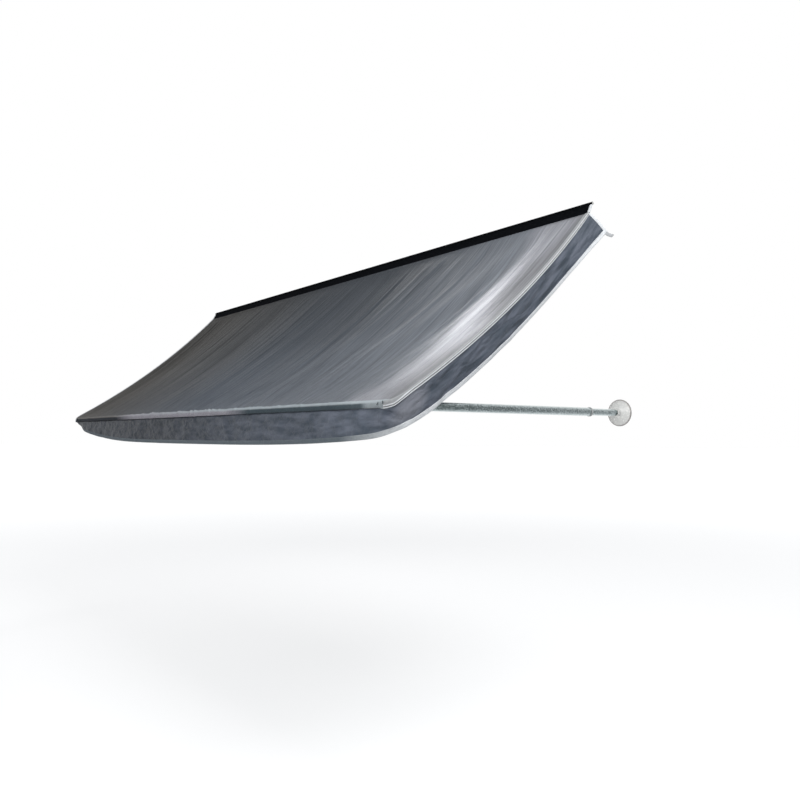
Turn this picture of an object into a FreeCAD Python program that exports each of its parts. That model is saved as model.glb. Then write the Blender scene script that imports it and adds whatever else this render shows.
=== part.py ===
import FreeCAD, Part
import math
import os
import Sketcher

# Caravan window awning, in millimetres. The origin is the middle of the keder bead,
# +X runs along the wall, +Y points into the wall and +Z up.

Vector = FreeCAD.Vector
Rotation = FreeCAD.Rotation
document = FreeCAD.newDocument("window_awning")
sheet = document.addObject("Spreadsheet::Sheet", "Sizes")

# Driving sizes: alias, value, what it is
sizes = [
    ("awning_width", 2000, "roof cloth across the wall"),
    ("bar_reach", 576, "bead to front bar, straight out from the wall"),
    ("bar_drop", 492, "bead to front bar, down"),
    ("wall_gap", 10, "bead centre to the wall face"),
    ("cloth", 1.2, "thickness of one layer of coated cloth"),
    ("seam_gap", 0.15, "room left where cloth lies on a curved piece"),
    ("cord_diameter", 5, "plastic cord inside the bead"),
    ("welt_diameter", 6.5, "bead with its cloth wrap"),
    ("welt_clearance", 0.3, "free space between the bead and the strip that swings on it"),
    ("strip_length", 30, "bead centre to the top edge of the roof"),
    ("strip_angle", 62, "slope of the black strip below level"),
    ("strip_binding", 8, "width of the bound ends of the strip"),
    ("binding_cover", 0.8, "thickness of a binding over the cloth it wraps"),
    ("roof_sag", 26, "how far the roof hangs below a straight line"),
    ("fold_count", 7, "broad folds across the roof"),
    ("fold_ratio", 0.034, "fold height over fold width at mid slope"),
    ("fold_ratio_between", 0.027, "fold height over fold width between mid slope and the ends"),
    ("fold_ratio_end", 0.002, "fold height over fold width at the strip and the bar"),
    ("tape_width", 10, "stitched tape along the side edges"),
    ("tape_thickness", 0.9, "stitched tape"),
    ("tape_margin", 4, "plain roof cloth beside a tape"),
    ("corner_radius", 36, "front corners of the roof in plan"),
    ("side_depth_wall", 70, "side valance at the wall"),
    ("side_depth", 74, "side valance at mid slope"),
    ("side_depth_corner", 66, "side valance where the corner starts"),
    ("side_flare", 22, "how far the side valance stands out at the wall"),
    ("side_spread", 5, "how far the side valance stands out at mid slope"),
    ("corner_spread", 3, "how far the side valance stands out where the corner starts"),
    ("corner_tuck", 3, "how far the valance leans in at the middle of a corner"),
    ("corner_depth_right", 53, "valance at the right front corner"),
    ("corner_depth_left", 40, "valance at the left front corner"),
    ("front_depth", 80, "front valance at the middle"),
    ("front_top", 1, "top edge of the front valance below the bar's axis"),
    ("front_wave", 4, "sideways swing of the front valance's soft folds"),
    ("front_bulge", 1, "how far the front valance bellies outward"),
    ("bind_width", 10, "bias binding on the valance edges"),
    ("bar_diameter", 16, "front bar tube"),
    ("bar_wall", 1.2, "front bar tube"),
    ("bar_inset", 45, "roof edge to the end of the front bar"),
    ("hem_room", 0.3, "between the front bar and its cloth tunnel"),
    ("hem_setback", 1, "end of the cloth tunnel to the end of the front bar"),
    ("spigot_length", 160, "joining piece inside the front bar"),
    ("spigot_play", 0.12, "joining piece to the bore of the bar"),
    ("fork_plug", 30, "length of the fork's plug in the bar"),
    ("fork_play", 0.08, "fork plug to the bore of the bar, on the radius"),
    ("fork_width", 13, "fork along the bar"),
    ("fork_reach", 22, "bar axis to the arm's pivot pin"),
    ("fork_slot_play", 0.3, "fork slot over the arm's tongue, on each side"),
    ("fork_slot_relief", 1, "fork slot beyond the arm's tongue"),
    ("pin_diameter", 6, "arm pivot pin"),
    ("pin_play", 0.08, "pivot pin to its holes, on the radius"),
    ("pin_head", 10, "head of the pivot pin"),
    ("pin_head_height", 2, "head of the pivot pin"),
    ("pin_tail", 2, "pivot pin below its washer"),
    ("washer_diameter", 12, "push-on washer under the fork"),
    ("washer_thickness", 1.2, "push-on washer under the fork"),
    ("arm_diameter", 18, "outer tube of the arm"),
    ("arm_wall", 1, "walls of both arm tubes"),
    ("tongue_thickness", 4, "tongue at the end of the outer tube"),
    ("tongue_reach", 12, "pivot pin to the end of the flat tongue"),
    ("tongue_taper", 26, "length over which the tongue grows to the round form"),
    ("inner_diameter", 15, "inner tube of the arm"),
    ("inner_showing", 70, "inner tube between the mouth bush and the ball's neck"),
    ("inner_overlap", 240, "inner tube inside the outer tube"),
    ("bush_length", 20, "mouth bush inside the outer tube"),
    ("bush_flange", 4, "mouth bush outside the outer tube"),
    ("flange_rise", 1, "mouth bush flange beyond the outer tube, on the radius"),
    ("bush_play", 0.08, "mouth bush to the inner tube, on the radius"),
    ("cam_offset", 0.9, "journal of the lock off the arm's axis"),
    ("journal_diameter", 8, "journal of the lock"),
    ("cam_length", 14, "locking cam"),
    ("cam_slot", 2.5, "slit in the locking cam"),
    ("cam_end_play", 0.3, "locking cam to each end disc"),
    ("disc_thickness", 2, "end discs of the lock plug"),
    ("disc_relief", 0.4, "end discs inside the inner tube's outside, on the radius"),
    ("plug_length", 22, "plug that closes each end of the inner tube"),
    ("ball_diameter", 14, "ball tip of the foot"),
    ("ball_play", 0.08, "ball to its socket, on the radius"),
    ("ball_height", 14, "ball centre above the wall"),
    ("neck_diameter", 6, "rod between the ball and the inner tube"),
    ("neck_length", 9, "ball centre to the inner tube"),
    ("cup_diameter", 60, "suction cup"),
    ("cup_outset", 60, "cup centre beyond the edge of the roof cloth, along the wall"),
    ("rim_width", 4, "flat sealing rim of the cup"),
    ("rim_height", 1.6, "lip of the cup"),
    ("dome_height", 11, "cup without its neck"),
    ("dome_shoulder", 1.5, "dome's small end beyond the neck, on the radius"),
    ("socket_diameter", 21, "neck of the cup round the ball"),
    ("socket_lip", 4, "how far the socket closes past the ball's centre"),
    ("cavity_height", 4.4, "hollow under the cup"),
    ("tab_width", 8, "pull tab at the wall end of the side valance"),
    ("tab_length", 14, "pull tab at the wall end of the side valance"),
]
for row, (alias, value, note) in enumerate(sizes, start=1):
    sheet.set("A%d" % row, note)
    sheet.set("B%d" % row, str(value))
    sheet.setAlias("B%d" % row, alias)
document.recompute()


def size(alias):
    return float(sheet.get(alias))


pieces = []


def keep(piece):
    pieces.append(piece)
    return piece


def bind(thing, expressions):
    for name, expression in expressions.items():
        thing.setExpression(name, expression)
    return thing


def solid_piece(label, shape):
    """One sub-part whose shape comes from Part's own functions."""
    piece = document.addObject("Part::Feature", label)
    piece.Shape = shape
    return piece


def cylinder(name, radius, height, start="0", axis=Vector(1, 0, 0), x="0", y="0"):
    """A cylinder that starts at `start` along its axis; sizes are sheet expressions."""
    tool = document.addObject("Part::Cylinder", name)
    bind(tool, {"Radius": radius, "Height": height})
    tool.Placement = FreeCAD.Placement(Vector(), Rotation(Vector(0, 0, 1), axis))
    if axis.x:
        bind(tool, {".Placement.Base.x": start})
    else:
        bind(tool, {".Placement.Base.x": x, ".Placement.Base.y": y, ".Placement.Base.z": start})
    return tool


def box(name, length, width, height, x, y, z):
    tool = document.addObject("Part::Box", name)
    bind(tool, {"Length": length, "Width": width, "Height": height})
    bind(tool, {".Placement.Base.x": x, ".Placement.Base.y": y, ".Placement.Base.z": z})
    return tool


def cut(label, base, tool):
    result = document.addObject("Part::Cut", label)
    result.Base = base
    result.Tool = tool
    return result


def fuse(label, shapes):
    result = document.addObject("Part::MultiFuse", label)
    result.Shapes = shapes
    return result


def origin_plane(body, role):
    return next(item for item in body.Origin.OriginFeatures if item.Role == role)


def tube_body(label, outer, bore, length, start):
    """A tube along +X: a ring sketch on the YZ plane, padded."""
    body = document.addObject("PartDesign::Body", label)
    ring = body.newObject("Sketcher::SketchObject", label + "_ring")
    ring.AttachmentSupport = (origin_plane(body, "YZ_Plane"), [""])
    ring.MapMode = "FlatFace"
    bind(ring, {".AttachmentOffset.Base.z": start})
    for index, (name, diameter) in enumerate([("outer", outer), ("bore", bore)]):
        ring.addGeometry(Part.Circle(Vector(), Vector(0, 0, 1), 5 - index), False)
        ring.addConstraint(Sketcher.Constraint("Coincident", index, 3, -1, 1))
        constraint = ring.addConstraint(Sketcher.Constraint("Diameter", index, 10 - 2 * index))
        ring.renameConstraint(constraint, name)
        bind(ring, {"Constraints." + name: diameter})
    pad = body.newObject("PartDesign::Pad", label + "_pad")
    pad.Profile = ring
    bind(pad, {"Length": length})
    ring.Visibility = False
    return body


# Places worked out from the sizes
cloth = size("cloth")
half_width = size("awning_width") / 2
seam = size("seam_gap")
tunnel_inner = size("bar_diameter") / 2 + size("hem_room")
tunnel_outer = tunnel_inner + cloth
bar_half = half_width - size("bar_inset")
bar_place = Vector(0, -size("bar_reach"), -size("bar_drop"))
strip_angle = math.radians(size("strip_angle"))
roof_top = Vector(0, -math.cos(strip_angle), -math.sin(strip_angle)) * size("strip_length")


def slope_of(upper, lower):
    return math.atan2(upper.z - lower.z, upper.y - lower.y)


# Widths of the folds across the roof, uneven as on hanging cloth, between flat margins
fold_margin = size("tape_width") + size("tape_margin")
unevenness = 0.35
fold_turn = 2.4
fold_shares = [1 + unevenness * math.sin(fold_turn * index) for index in range(int(size("fold_count")))]
fold_unit = 2 * (half_width - fold_margin) / sum(fold_shares)
end_fold = size("fold_ratio_end") * max(fold_shares) * fold_unit

# The roof hangs in one flat arc from the strip to the top of the bar's tunnel
straight = (bar_place - roof_top).Length
half_turn = 2 * math.atan(2 * size("roof_sag") / straight)
front_slope = slope_of(roof_top, bar_place) - half_turn
seat_radius = tunnel_outer + seam + cloth / 2 + end_fold
roof_front = bar_place + Vector(0, -math.sin(front_slope), math.cos(front_slope)) * seat_radius
chord = (roof_front - roof_top).Length
half_turn = 2 * math.atan(2 * size("roof_sag") / chord)
arc_radius = chord / 2 / math.sin(half_turn)
chord_slope = slope_of(roof_top, roof_front)
down_slope = Vector(0, -math.cos(chord_slope), -math.sin(chord_slope))
chord_normal = Vector(0, -math.sin(chord_slope), math.cos(chord_slope))
arc_centre = (roof_top + roof_front) / 2 + chord_normal * (arc_radius * math.cos(half_turn))


def roof_frame(share):
    """Point and upward normal of the roof at a share of the way down, 0 at the wall."""
    turn = half_turn * (2 * share - 1)
    outward = down_slope * math.sin(turn) - chord_normal * math.cos(turn)
    return arc_centre + outward * arc_radius, outward * -1


def roof_height(y):
    """Height of the roof's middle layer at a distance from the wall."""
    reach = y - arc_centre.y
    return arc_centre.z - math.sqrt(arc_radius ** 2 - reach ** 2)


def along_wall(shape_face, start, length):
    """Extrudes a face that lies in the plane x = 0."""
    moved = shape_face.translated(Vector(start, 0, 0))
    return moved.extrude(Vector(length, 0, 0))


# Keder bead: a plastic cord in a cloth welt
cord = keep(document.addObject("Part::Cylinder", "keder_cord"))
bind(cord, {"Radius": "Sizes.cord_diameter / 2", "Height": "Sizes.awning_width"})
cord.Placement = FreeCAD.Placement(Vector(-half_width, 0, 0), Rotation(Vector(0, 1, 0), 90))
keep(tube_body("keder_welt", "Sizes.welt_diameter", "Sizes.cord_diameter",
               "Sizes.awning_width", "-Sizes.awning_width / 2"))


# Black strip from the bead to the roof, cut at its lower end to meet the roof squarely
def strip_section(cover, stop):
    away = Vector(0, -math.cos(strip_angle), -math.sin(strip_angle))
    upward = Vector(0, -math.sin(strip_angle), math.cos(strip_angle))
    roof_normal = roof_frame(0)[1]
    half = cloth / 2 + cover
    start = size("welt_diameter") / 2 + size("welt_clearance")
    down_roof = Vector(0, -roof_normal.z, roof_normal.y)
    slant = half * upward.dot(down_roof) / away.dot(down_roof)
    corners = [
        away * start - upward * half,
        away * start + upward * half,
        away * (stop - slant) + upward * half,
        away * (stop + slant) - upward * half,
    ]
    return Part.Face(Part.makePolygon(corners + corners[:1]))


strip_stop = size("strip_length") - seam
keep(solid_piece("keder_strip", along_wall(strip_section(0, strip_stop), -half_width, 2 * half_width)))
binding_stop = strip_stop - size("binding_cover") - 2 * seam
for side, way in [("left", -1), ("right", 1)]:
    width = size("strip_binding")
    start = way * (half_width + size("binding_cover") - width / 2) - width / 2
    wrap = along_wall(strip_section(size("binding_cover"), binding_stop), start, width)
    strip = along_wall(strip_section(0, strip_stop), -half_width, 2 * half_width)
    keep(solid_piece(side + "_strip_binding", wrap.cut(strip)))

# Skirt: the valances hang from the roof's edge all round, in upright sections
corner_radius = size("corner_radius")
front_face = -size("bar_reach") - tunnel_outer - seam
corner_x = half_width - corner_radius
corner_y = front_face + corner_radius
wall_end = roof_top.y - seam
bind_width = size("bind_width")
bind_cover = size("binding_cover")


# Roof: folds run down the slope, hardly any at the strip and most at mid slope
def fold_edges(ratio, offset, place):
    """Chain of arcs across the roof on one section, from left to right."""
    stations = [-half_width + fold_margin]
    for share in fold_shares:
        stations.append(stations[-1] + share * fold_unit)
    point, normal = place

    def at(x, lift):
        return Vector(x, point.y, point.z) + normal * (offset + lift)

    edges = [Part.LineSegment(at(-half_width, 0), at(stations[0], 0)).toShape()]
    for index in range(len(fold_shares)):
        left, right = stations[index], stations[index + 1]
        lift = ratio * (right - left) * (1 if index % 2 else -1)
        edges.append(Part.Arc(at(left, 0), at((left + right) / 2, lift), at(right, 0)).toShape())
    edges.append(Part.LineSegment(at(stations[-1], 0), at(half_width, 0)).toShape())
    return edges


def roof_section(share, ratio):
    place = roof_frame(share)
    under = fold_edges(ratio, -cloth / 2, place)
    over = fold_edges(ratio, cloth / 2, place)
    ends = [
        Part.LineSegment(under[-1].Vertexes[-1].Point, over[-1].Vertexes[-1].Point).toShape(),
        Part.LineSegment(over[0].Vertexes[0].Point, under[0].Vertexes[0].Point).toShape(),
    ]
    return Part.Wire(under + [ends[0]] + over[::-1] + [ends[1]])


def roof_panel():
    ratios = [
        (0, size("fold_ratio_end")),
        (0.25, size("fold_ratio_between")),
        (0.5, size("fold_ratio")),
        (0.8, size("fold_ratio_between")),
        (1, size("fold_ratio_end")),
    ]
    panel = Part.makeLoft([roof_section(share, ratio) for share, ratio in ratios], True)
    return panel.cut(corner_waste(1)).cut(corner_waste(-1))


def corner_waste(way):
    """What is trimmed off a front corner of the roof, outside its corner radius."""
    radius = corner_radius - seam
    tall = size("bar_drop")
    low = Vector(way * corner_x, corner_y, roof_front.z - tall / 2)
    block = Part.makeBox(2 * radius, 2 * radius, tall, low + Vector((way - 1) * radius, -2 * radius, 0))
    return block.cut(Part.makeCylinder(radius, tall, low))


keep(solid_piece("roof_panel", roof_panel()))


# Tapes along the side edges of the roof, bent to the same arc
def roof_tape(way):
    lift = cloth / 2 + seam
    point, normal = roof_frame(0)
    inside = way * (half_width - size("tape_width"))
    outside = way * half_width
    corners = [
        Vector(inside, point.y, point.z) + normal * lift,
        Vector(outside, point.y, point.z) + normal * lift,
        Vector(outside, point.y, point.z) + normal * (lift + size("tape_thickness")),
        Vector(inside, point.y, point.z) + normal * (lift + size("tape_thickness")),
    ]
    face = Part.Face(Part.makePolygon(corners + corners[:1]))
    stop = math.asin((arc_centre.y - corner_y) / arc_radius)
    start = math.asin((arc_centre.y - point.y) / arc_radius)
    return face.revolve(arc_centre, Vector(1, 0, 0), -math.degrees(stop - start))


for side, way in [("left", -1), ("right", 1)]:
    keep(solid_piece(side + "_roof_tape", roof_tape(way)))

# Front hem: the cloth tunnel round the bar
hem = keep(tube_body("front_hem", "Sizes.bar_diameter + 2 * Sizes.hem_room + 2 * Sizes.cloth",
                     "Sizes.bar_diameter + 2 * Sizes.hem_room",
                     "Sizes.awning_width - 2 * Sizes.bar_inset - 2 * Sizes.hem_setback",
                     "-Sizes.awning_width / 2 + Sizes.bar_inset + Sizes.hem_setback"))
hem.Placement = FreeCAD.Placement(bar_place, Rotation())


def skirt_section(station, first, last, thickness, inset, bulge=0):
    """Upright closed section of the skirt between two depths below its top edge."""
    point, outward, top, depth, spread = station

    def at(level, away):
        return Vector(point.x, point.y, top - level) + outward * away

    def lean(level):
        share = level / (depth - bind_width)
        return spread * min(share, 1) + bulge * 4 * share * (1 - min(share, 1))

    start = first(depth)
    stop = last(depth)
    corners = [at(start, lean(start) - inset), at(start, lean(start) - inset + thickness)]
    corners += [at(stop, lean(stop) - inset + thickness), at(stop, lean(stop) - inset)]
    if not bulge:
        return Part.makePolygon(corners + corners[:1])
    middle = (start + stop) / 2
    outer_middle = at(middle, lean(middle) - inset + thickness)
    inner_middle = at(middle, lean(middle) - inset)
    return Part.Wire([
        Part.LineSegment(corners[0], corners[1]).toShape(),
        Part.Arc(corners[1], outer_middle, corners[2]).toShape(),
        Part.LineSegment(corners[2], corners[3]).toShape(),
        Part.Arc(corners[3], inner_middle, corners[0]).toShape(),
    ])


def skirt_cloth(stations, bulge=0):
    return Part.makeLoft([
        skirt_section(station, lambda depth: 0, lambda depth: depth - bind_width, cloth, 0, bulge)
        for station in stations
    ], True)


def skirt_binding(stations):
    return Part.makeLoft([
        skirt_section(station, lambda depth: depth - bind_width + seam, lambda depth: depth,
                      cloth + 2 * bind_cover, bind_cover)
        for station in stations
    ], True)


def side_station(way, share):
    """Share runs from 0 at the wall to 1 where the front corner starts."""
    y = wall_end + (corner_y - wall_end) * share
    depths = [size("side_depth_wall"), size("side_depth"), size("side_depth_corner")]
    spreads = [size("side_flare"), size("side_spread"), size("corner_spread")]
    weights = [2 * (share - 0.5) * (share - 1), -4 * share * (share - 1), 2 * share * (share - 0.5)]
    depth = sum(a * b for a, b in zip(depths, weights))
    spread = sum(a * b for a, b in zip(spreads, weights))
    top = roof_height(min(y, roof_top.y)) + cloth / 2 - seam
    return Vector(way * half_width, y, 0), Vector(way, 0, 0), top, depth, spread


def corner_station(way, turn):
    """Turn runs from 0 on the side to 90 degrees on the front."""
    share = turn / 90
    angle = math.radians(turn)
    outward = Vector(way * math.cos(angle), -math.sin(angle), 0)
    point = Vector(way * corner_x, corner_y, 0) + outward * corner_radius
    top = roof_height(max(point.y, roof_front.y)) + cloth / 2 - seam
    corner_depth = size("corner_depth_right") if way > 0 else size("corner_depth_left")
    side_low = roof_height(corner_y) + cloth / 2 - seam - size("side_depth_corner")
    front_low = bar_place.z - corner_depth
    low = side_low + (front_low - side_low) * share
    spread = size("corner_spread") * (1 - share) - size("corner_tuck") * math.sin(2 * angle)
    return point, outward, top, top - low, spread


def front_stations():
    """From the left corner to the right one, deepest in the middle, with soft folds."""
    stations = []
    span_count = 12
    wave_turn = 2.3
    for index in range(span_count + 1):
        across = 2 * index / span_count - 1
        corner_depth = size("corner_depth_right") if across > 0 else size("corner_depth_left")
        depth = corner_depth + (size("front_depth") - corner_depth) * (1 - across ** 2) - size("front_top")
        swing = size("front_wave") * (1 - across ** 2) * math.sin(wave_turn * index)
        point = Vector(across * corner_x, front_face, 0)
        top = bar_place.z - size("front_top")
        stations.append((point, Vector(0, -1, 0), top, depth, swing))
    return stations


side_shares = [0, 0.5, 1]
corner_turns = [0, 30, 60, 90]
binding_share = bind_width / (wall_end - corner_y)
for side, way in [("left", -1), ("right", 1)]:
    side_run = [side_station(way, binding_share + (1 - binding_share) * share) for share in side_shares]
    corner_run = [corner_station(way, turn) for turn in corner_turns]
    side_cloth = skirt_cloth(side_run).fuse(skirt_cloth(corner_run))
    side_edge = skirt_binding(side_run).fuse(skirt_binding(corner_run))
    keep(solid_piece(side + "_side_valance", side_cloth))
    keep(solid_piece(side + "_side_binding", side_edge))

keep(solid_piece("front_valance", skirt_cloth(front_stations(), size("front_bulge"))))
keep(solid_piece("front_binding", skirt_binding(front_stations())))


# Bound edge where the side valance ends at the wall, with its pull tab below
def wall_edge_band(way, first, last, width):
    run = [side_station(way, 0), side_station(way, width / (wall_end - corner_y))]
    return Part.makeLoft([
        skirt_section(station, first, last, cloth + bind_cover, 0) for station in run
    ], True)


for side, way in [("left", -1), ("right", 1)]:
    edge = wall_edge_band(way, lambda depth: cloth, lambda depth: depth, bind_width - seam)
    tab = wall_edge_band(way, lambda depth: depth, lambda depth: depth + size("tab_length"),
                         size("tab_width"))
    keep(solid_piece(side + "_end_binding", edge))
    keep(solid_piece(side + "_pull_tab", tab))

# Front bar: two tubes joined by a spigot in the middle
bar_bore = "Sizes.bar_diameter - 2 * Sizes.bar_wall"
bar_length = "Sizes.awning_width / 2 - Sizes.bar_inset"
for label, start in [("left_bar_tube", "-(%s)" % bar_length), ("right_bar_tube", "0")]:
    tube = keep(tube_body(label, "Sizes.bar_diameter", bar_bore, bar_length, start))
    tube.Placement = FreeCAD.Placement(bar_place, Rotation())
spigot = keep(tube_body("bar_spigot", bar_bore + " - 2 * Sizes.spigot_play",
                        bar_bore + " - 2 * Sizes.spigot_play - 2 * Sizes.bar_wall",
                        "Sizes.spigot_length", "-Sizes.spigot_length / 2"))
spigot.Placement = FreeCAD.Placement(bar_place, Rotation())

# The arm runs from its pivot pin to the ball in the cup
pivot_x = bar_half + size("fork_width") / 2
pivot_y = bar_place.y + size("fork_reach")
cup_x = half_width + size("cup_outset")
ball_y = size("wall_gap") - size("ball_height")
arm_length = math.hypot(cup_x - pivot_x, ball_y - pivot_y)
splay = math.degrees(math.atan2(cup_x - pivot_x, ball_y - pivot_y))
inner_end = arm_length - size("neck_length")
mouth = inner_end - size("inner_showing")
inner_start = mouth - size("inner_overlap")
slot_height = "(Sizes.tongue_thickness + 2 * Sizes.fork_slot_play)"


def fork(side, way):
    """Plug in the bar's end and two tongues round the arm's flat end, on the bar's axis."""
    name = side + "_fork"
    plug = cylinder(name + "_plug", "Sizes.bar_diameter / 2 - Sizes.bar_wall - Sizes.fork_play",
                    "Sizes.fork_plug", "-Sizes.fork_plug")
    disc = cylinder(name + "_disc", "Sizes.bar_diameter / 2", "Sizes.fork_width")
    block = box(name + "_block", "Sizes.fork_width", "Sizes.fork_reach", "Sizes.bar_diameter",
                "0", "0", "-Sizes.bar_diameter / 2")
    nose = cylinder(name + "_nose", "Sizes.fork_width / 2", "Sizes.bar_diameter",
                    "-Sizes.bar_diameter / 2", Vector(0, 0, 1), "Sizes.fork_width / 2", "Sizes.fork_reach")
    whole = fuse(name + "_whole", [plug, disc, block, nose])
    slot = box(name + "_slot", "Sizes.fork_width * 2", "Sizes.fork_reach", slot_height,
               "-Sizes.fork_width / 2", "Sizes.fork_reach - Sizes.arm_diameter / 2 - Sizes.fork_slot_relief",
               "-%s / 2" % slot_height)
    hole = cylinder(name + "_hole", "Sizes.pin_diameter / 2 + Sizes.pin_play",
                    "Sizes.bar_diameter * 2", "-Sizes.bar_diameter", Vector(0, 0, 1),
                    "Sizes.fork_width / 2", "Sizes.fork_reach")
    piece = cut(name, cut(name + "_slotted", whole, slot), hole)
    turn = Rotation(Vector(0, 1, 0), 0 if way > 0 else 180)
    piece.Placement = FreeCAD.Placement(Vector(way * bar_half, bar_place.y, bar_place.z), turn)
    return piece


def pivot_pin(side, way):
    """Headed pin down through the fork and the arm's tongue, with the washer pushed on below."""
    name = side + "_pivot_pin"
    shank = cylinder(name + "_shank", "Sizes.pin_diameter / 2",
                     "Sizes.bar_diameter + Sizes.washer_thickness + Sizes.pin_tail",
                     "-Sizes.bar_diameter / 2 - Sizes.washer_thickness - Sizes.pin_tail", Vector(0, 0, 1))
    washer = cylinder(name + "_washer", "Sizes.washer_diameter / 2", "Sizes.washer_thickness",
                      "-Sizes.bar_diameter / 2 - Sizes.washer_thickness", Vector(0, 0, 1))
    head = cylinder(name + "_head", "Sizes.pin_head / 2", "Sizes.pin_head_height",
                    "Sizes.bar_diameter / 2", Vector(0, 0, 1))
    piece = fuse(name, [shank, washer, head])
    piece.Placement = FreeCAD.Placement(Vector(way * pivot_x, pivot_y, bar_place.z), Rotation())
    return piece


def outer_arm(side):
    """Tube with a solid end that narrows to a drilled tongue."""
    radius = size("arm_diameter") / 2
    half_thick = size("tongue_thickness") / 2
    flat_end = size("tongue_reach")
    round_start = flat_end + size("tongue_taper")
    along = Vector(1, 0, 0)
    blank = Part.makeCylinder(radius, round_start + radius, Vector(-radius, 0, 0), along)
    upper = [(-radius, half_thick), (flat_end, half_thick), (round_start, radius)]
    edge = [Vector(x, -radius, z) for x, z in upper] + [Vector(x, -radius, -z) for x, z in upper[::-1]]
    wedge = Part.Face(Part.makePolygon(edge + edge[:1])).extrude(Vector(0, 2 * radius, 0))
    nose = Part.makeCylinder(radius, 2 * radius, Vector(0, 0, -radius))
    plan = nose.fuse(Part.makeBox(round_start, 2 * radius, 2 * radius, Vector(0, -radius, -radius)))
    hole = Part.makeCylinder(size("pin_diameter") / 2 + size("pin_play"), 2 * radius, Vector(0, 0, -radius))
    tongue = blank.common(wedge).common(plan).cut(hole)
    tube_length = mouth - size("bush_flange") - round_start
    tube = Part.makeCylinder(radius, tube_length, Vector(round_start, 0, 0), along)
    bore = Part.makeCylinder(radius - size("arm_wall"), tube_length, Vector(round_start, 0, 0), along)
    return solid_piece(side + "_outer_arm", tongue.fuse(tube.cut(bore)).removeSplitter())


def mouth_bush(side):
    """Plastic bush in the mouth of the outer tube, a sliding fit on the inner tube."""
    name = side + "_mouth_bush"
    sleeve = cylinder(name + "_sleeve", "Sizes.arm_diameter / 2 - Sizes.arm_wall",
                      "Sizes.bush_length + Sizes.bush_flange", "-Sizes.bush_length - Sizes.bush_flange")
    flange = cylinder(name + "_flange", "Sizes.arm_diameter / 2 + Sizes.flange_rise", "Sizes.bush_flange",
                      "-Sizes.bush_flange")
    bore = cylinder(name + "_bore", "Sizes.inner_diameter / 2 + Sizes.bush_play",
                    "2 * Sizes.bush_length + 2 * Sizes.bush_flange",
                    "-Sizes.bush_length - 2 * Sizes.bush_flange")
    return cut(name, fuse(name + "_blank", [sleeve, flange]), bore)


def lock_journal(name):
    """End of the inner tube with an off-centre journal between two discs."""
    journal_length = "(Sizes.cam_length + 2 * Sizes.cam_end_play)"
    disc_radius = "Sizes.inner_diameter / 2 - Sizes.disc_relief"
    near = cylinder(name + "_near", disc_radius, "Sizes.disc_thickness", "-Sizes.disc_thickness")
    far = cylinder(name + "_far", disc_radius, "Sizes.disc_thickness",
                   "-2 * Sizes.disc_thickness - " + journal_length)
    journal = cylinder(name + "_journal", "Sizes.journal_diameter / 2",
                       journal_length + " + Sizes.disc_thickness",
                       "-1.5 * Sizes.disc_thickness - " + journal_length)
    bind(journal, {".Placement.Base.z": "-Sizes.cam_offset"})
    return [near, far, journal]


def lock_cam(side):
    """Slit cam ring that wedges against the outer tube when the inner tube is twisted."""
    name = side + "_lock_cam"
    start = "-Sizes.disc_thickness - Sizes.cam_length - Sizes.cam_end_play"
    ring = cylinder(name + "_ring", "Sizes.inner_diameter / 2", "Sizes.cam_length", start)
    bore = cylinder(name + "_bore", "Sizes.journal_diameter / 2 + Sizes.pin_play",
                    "Sizes.cam_length * 2", start + " - Sizes.cam_length / 2")
    bind(bore, {".Placement.Base.z": "-Sizes.cam_offset"})
    slit = box(name + "_slit", "Sizes.cam_length * 2", "Sizes.cam_slot", "Sizes.inner_diameter / 2",
               start + " - Sizes.cam_length / 2", "-Sizes.cam_slot / 2",
               "-Sizes.cam_offset - Sizes.inner_diameter / 2")
    return cut(name, cut(name + "_bored", ring, bore), slit)


def inner_arm(side):
    """Inner tube with the lock's journal in its hidden end, x = 0, and the ball stud in the other."""
    name = side + "_inner_arm"
    length = "(Sizes.inner_showing + Sizes.inner_overlap)"
    rod = cylinder(name + "_rod", "Sizes.inner_diameter / 2", length)
    neck = cylinder(name + "_neck", "Sizes.neck_diameter / 2", "Sizes.neck_length", length)
    ball = document.addObject("Part::Sphere", name + "_ball")
    bind(ball, {"Radius": "Sizes.ball_diameter / 2", ".Placement.Base.x": length + " + Sizes.neck_length"})
    bore = cylinder(name + "_bore", "Sizes.inner_diameter / 2 - Sizes.arm_wall",
                    length + " - 2 * Sizes.plug_length", "Sizes.plug_length")
    tube = cut(name + "_tube", fuse(name + "_blank", [rod, neck, ball]), bore)
    return fuse(name, [tube, *lock_journal(name)])


def ball_socket():
    """Hollow that holds the ball: a short bore with a tapered bottom and a tapered lip."""
    reach = size("ball_diameter") / 2 + size("ball_play")
    flat = reach * math.tan(math.radians(22.5))
    profile = [(-reach, 0), (-reach, flat), (-flat, reach), (flat, reach), (reach, flat), (reach, 0)]
    corners = [Vector(x, y, 0) for x, y in profile]
    return Part.Face(Part.makePolygon(corners + corners[:1])).revolve(Vector(), Vector(1, 0, 0), 360)


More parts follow.
